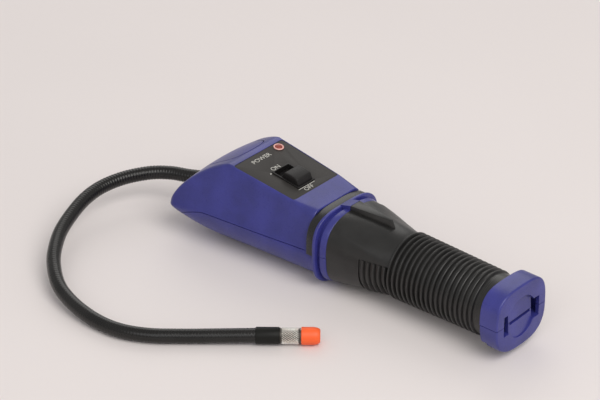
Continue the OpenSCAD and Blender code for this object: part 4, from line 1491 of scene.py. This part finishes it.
def neck_line():
    """Closely spaced centre points of the gooseneck, as station points."""
    route = [(u, y, h - CASE_DEPTH) for u, y, h in NECK_ROUTE]
    return [Vector(p) for p in smooth_route(route, 48)]


def neck_radius(run):
    """Radius of the gooseneck at a distance from its root: ridges that fade towards the tip."""
    shape = bpy.context.scene.detector_probe
    pitch, height = shape.ridge_pitch / MM, shape.ridge_height / MM
    fade = mix(1.0, 0.3, clamp((run - 60) / 120))
    return NECK_R - height * fade * (0.5 - 0.5 * math.cos(2 * math.pi * run / pitch)) ** 2


def gland_solid(name):
    """Gland in the nose, with a rounded flange."""
    rear, seat = NOSE_U - GLAND_LEN, NOSE_U - 1.7
    profile = [(rear, GLAND_R), (seat, GLAND_R), (seat, GLAND_FLANGE_R)]
    profile += arc(NECK_U - GLAND_ROUND, GLAND_FLANGE_R - GLAND_ROUND, GLAND_ROUND, GLAND_ROUND, 5)
    profile += [(NECK_U, GLAND_BORE_R), (rear, GLAND_BORE_R)]
    return lathe(name, profile, along_probe, 64, True)


def sleeve_solid(name):
    """Shrink sleeve with rolled ends."""
    x0, x1 = -0.2, SLEEVE_LEN
    profile = [(x0, SLEEVE_R - 0.45), (0.1, SLEEVE_R - 0.15), (0.6, SLEEVE_R), (x1 - 0.6, SLEEVE_R),
               (x1 - 0.15, SLEEVE_R - 0.15), (x1, SLEEVE_R - 0.45), (x1, SLEEVE_BORE_R), (x0, SLEEVE_BORE_R)]
    return lathe(name, profile, at_tip, 48, True)


def ferrule_solid(name, x0, x1):
    """Ferrule with a rim at each end."""
    profile = [(x0 + d, r) for d, r in FERRULE_END] + [(x1 - d, r) for d, r in reversed(FERRULE_END)]
    return lathe(name, profile, at_tip, 64, True)


def knurl_solid(name, x0, x1, finish):
    """Knurl studs round the ferrule, made about the x axis and then set in place."""
    shape = bpy.context.scene.detector_probe
    count, rows = shape.knurl_count, shape.knurl_rows
    pitch = (x1 - x0) / (rows + 1)
    reach = KNURL_SHARE * pitch
    half = KNURL_SHARE * math.pi * KNURL_MID_R / count
    mid = x0 + pitch
    foot = [(mid - reach, 0), (mid, -half), (mid + reach, 0), (mid, half)]
    points = [(x, y, KNURL_FOOT_R) for x, y in foot] + [(mid, 0, KNURL_PEAK_R), (mid, 0, KNURL_ROOT_R)]
    faces = []
    for k in range(4):
        faces += [(k, (k + 1) % 4, 4), ((k + 1) % 4, k, 5)]
    mesh = bpy.data.meshes.new(name)
    mesh.from_pydata([Vector(p) * MM for p in points], [], faces)
    knurl = add_object(name, mesh)
    repeat(knurl, finish, Count=count, Twist=2 * math.pi / count)
    repeat(knurl, finish, Count=rows, Pitch=pitch * MM, Twist=math.pi / count)
    turn = Matrix.Rotation(TIP_TURN, 4, "Z")
    knurl.data.transform(Matrix.Translation(place(at_tip((0, 0, 0)))) @ turn)
    return knurl


def cover_solid(name, start, end):
    """Protector over the sensing tip, with a rounded nose and an air hole."""
    reach, fall = COVER_NOSE
    profile = [(start, COVER_BORE_R), (start, COVER_R - 0.3), (start + 0.3, COVER_R)]
    profile += arc(end - reach, COVER_R - fall, reach, fall, 7, bend=1.2)
    inner = end - COVER_END_T
    profile += [(end, COVER_HOLE_R), (inner, COVER_HOLE_R), (inner, COVER_BORE_R)]
    return lathe(name, profile, at_tip, 56, True)


def tip_pieces(made):
    """Sleeve, ferrule, its knurl and the protector, in the order they sit on the tip."""
    sleeve = sleeve_solid("tip_shrink_sleeve")
    dress(sleeve, "case", ["tip_sleeve"], made["sleeve"])
    x0, x1 = SLEEVE_LEN, SLEEVE_LEN + FERRULE_LEN
    ferrule = ferrule_solid("tip_ferrule_body", x0, x1)
    # The ferrule body takes the painted valley shade; the knurl studs on it take the bright plated steel
    dress(ferrule, "case", ["tip_ferrule"], made["valley_shade"])
    knurl = knurl_solid("tip_ferrule_knurl", x0 + KNURL_MARGIN, x1 - KNURL_MARGIN, made["ferrule"])
    dress(knurl, "case", [], made["ferrule"])
    cover = cover_solid("tip_cover", x1 + SPLIT_GAP, x1 + PROTECTOR_LEN)
    dress(cover, "protector", ["tip_protector"], made["tip"])
    return [sleeve, ferrule, knurl, cover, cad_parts["sensing_tip"]]


class DETECTOR_OT_gooseneck(bpy.types.Operator):
    """Gooseneck with its gland, sleeve, ferrule and tip protector"""

    bl_idname = "detector.gooseneck"
    bl_label = "Gooseneck and tip"

    def execute(self, context):
        made = finishes()
        dress(gland_solid("gland"), "case", ["probe_gland"], made["knob"])
        line = neck_line()
        neck = tube_along("gooseneck_tube", line, neck_radius)
        dress(neck, "case", ["gooseneck"], made["neck"], 60)
        on_neck = tip_pieces(made)
        return {"FINISHED"}


class DETECTOR_OT_inner_pieces(bpy.types.Operator):
    """Finishes of the pieces inside the case and handle"""

    bl_idname = "detector.inner_pieces"
    bl_label = "Inner pieces"

    def execute(self, context):
        made = finishes()
        for finish, names in KEPT_NODES.items():
            for name in names:
                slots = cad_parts[name].data.materials
                slots.clear()
                slots.append(made[finish])
        return {"FINISHED"}


# Stage

def add_floor(colour):
    """Wide pale floor just below the object."""
    mesh = bpy.data.meshes.new("floor")
    corners = rectangle((-FLOOR_REACH, -FLOOR_REACH), (FLOOR_REACH, FLOOR_REACH))
    mesh.from_pydata([(x, y, FLOOR_Z) for x, y in corners], [], [(0, 1, 2, 3)])
    mesh.materials.append(moulded("floor_paper", colour, (0.7, 0.85), 300, 0.05, 0.012, 3))
    add_object("floor", mesh)


def add_sky(strength):
    """Even light from all sides."""
    world = bpy.data.worlds.new("studio")
    world.use_nodes = True
    sky = world.node_tree.nodes["Background"]
    sky.inputs["Color"].default_value = SKY_COLOUR
    sky.inputs["Strength"].default_value = strength
    bpy.context.scene.world = world


def area_light(name, power):
    """Round soft light, turned to the object."""
    at, width, colour = LIGHTS[name]
    light = bpy.data.lights.new(name, "AREA")
    light.shape = "DISK"
    light.size = width
    light.energy = power
    light.color = colour
    obj = add_object(name, light)
    obj.location = at
    obj.rotation_euler = (LIGHT_AIM - Vector(at)).to_track_quat("-Z", "Y").to_euler()


def photo_camera():
    """Camera at the photograph's angle and distance."""
    camera = bpy.data.cameras.new("photo_camera")
    camera.lens = CAMERA_LENS
    camera.sensor_width = 36.0
    camera.clip_end = 20.0
    obj = add_object("photo_camera", camera)
    a, e = CAMERA_TURN, CAMERA_RISE
    right = Vector((-math.cos(a), -math.sin(a), 0))
    up = Vector((math.sin(a) * math.sin(e), -math.cos(a) * math.sin(e), math.cos(e)))
    turn = Matrix((right, up, right.cross(up))).transposed().to_4x4()
    obj.matrix_world = Matrix.Translation(Vector(CAMERA_AT)) @ turn
    bpy.context.scene.camera = obj


class DETECTOR_OT_stage(bpy.types.Operator):
    """Pale floor, soft light and the camera"""

    bl_idname = "detector.stage"
    bl_label = "Stage"

    def execute(self, context):
        setup = context.scene.detector_stage
        add_floor(setup.floor)
        add_sky(setup.sky)
        for name in LIGHTS:
            area_light(name, getattr(setup, name + "_power"))
        photo_camera()
        context.scene.view_settings.view_transform = "Standard"
        return {"FINISHED"}


class DETECTOR_PT_panel(bpy.types.Panel):
    """Lists the detector's pieces and sizes"""

    bl_idname = "DETECTOR_PT_panel"
    bl_label = "Leak detector"
    bl_space_type = "VIEW_3D"
    bl_region_type = "UI"
    bl_category = "Detector"

    def draw(self, context):
        layout = self.layout
        for name in STEPS:
            layout.operator("detector." + name)
        for group in SETTINGS:
            settings = getattr(context.scene, group)
            for item in settings.bl_rna.properties:
                if not item.is_readonly and item.identifier != "name":
                    layout.prop(settings, item.identifier)


STEPS = ["stage", "gooseneck", "upper_case", "lower_case", "battery_door", "grips", "collar_band", "label",
         "power_light", "switch_knob", "inner_pieces"]
SETTINGS = {
    "detector_colours": FinishColours,
    "detector_grip": GripShape,
    "detector_probe": ProbeShape,
    "detector_stage": StageSetup,
}
CLASSES = [
    FinishColours, GripShape, ProbeShape, StageSetup,
    DETECTOR_OT_stage, DETECTOR_OT_gooseneck, DETECTOR_OT_upper_case, DETECTOR_OT_lower_case,
    DETECTOR_OT_battery_door, DETECTOR_OT_grips, DETECTOR_OT_collar_band, DETECTOR_OT_label,
    DETECTOR_OT_power_light, DETECTOR_OT_switch_knob, DETECTOR_OT_inner_pieces, DETECTOR_PT_panel,
]


def register():
    """Registers the classes and adds the settings to the scene."""
    for cls in CLASSES:
        bpy.utils.register_class(cls)
    for name, group in SETTINGS.items():
        setattr(bpy.types.Scene, name, PointerProperty(type=group))


def unregister():
    """Takes the settings and the classes away again."""
    for name in SETTINGS:
        delattr(bpy.types.Scene, name)
    for cls in reversed(CLASSES):
        bpy.utils.unregister_class(cls)


def main():
    """Builds the object and its stage in order and keeps its sizes."""
    register()
    for name in STEPS:
        getattr(bpy.ops.detector, name)()


if __name__ == "__main__":
    main()
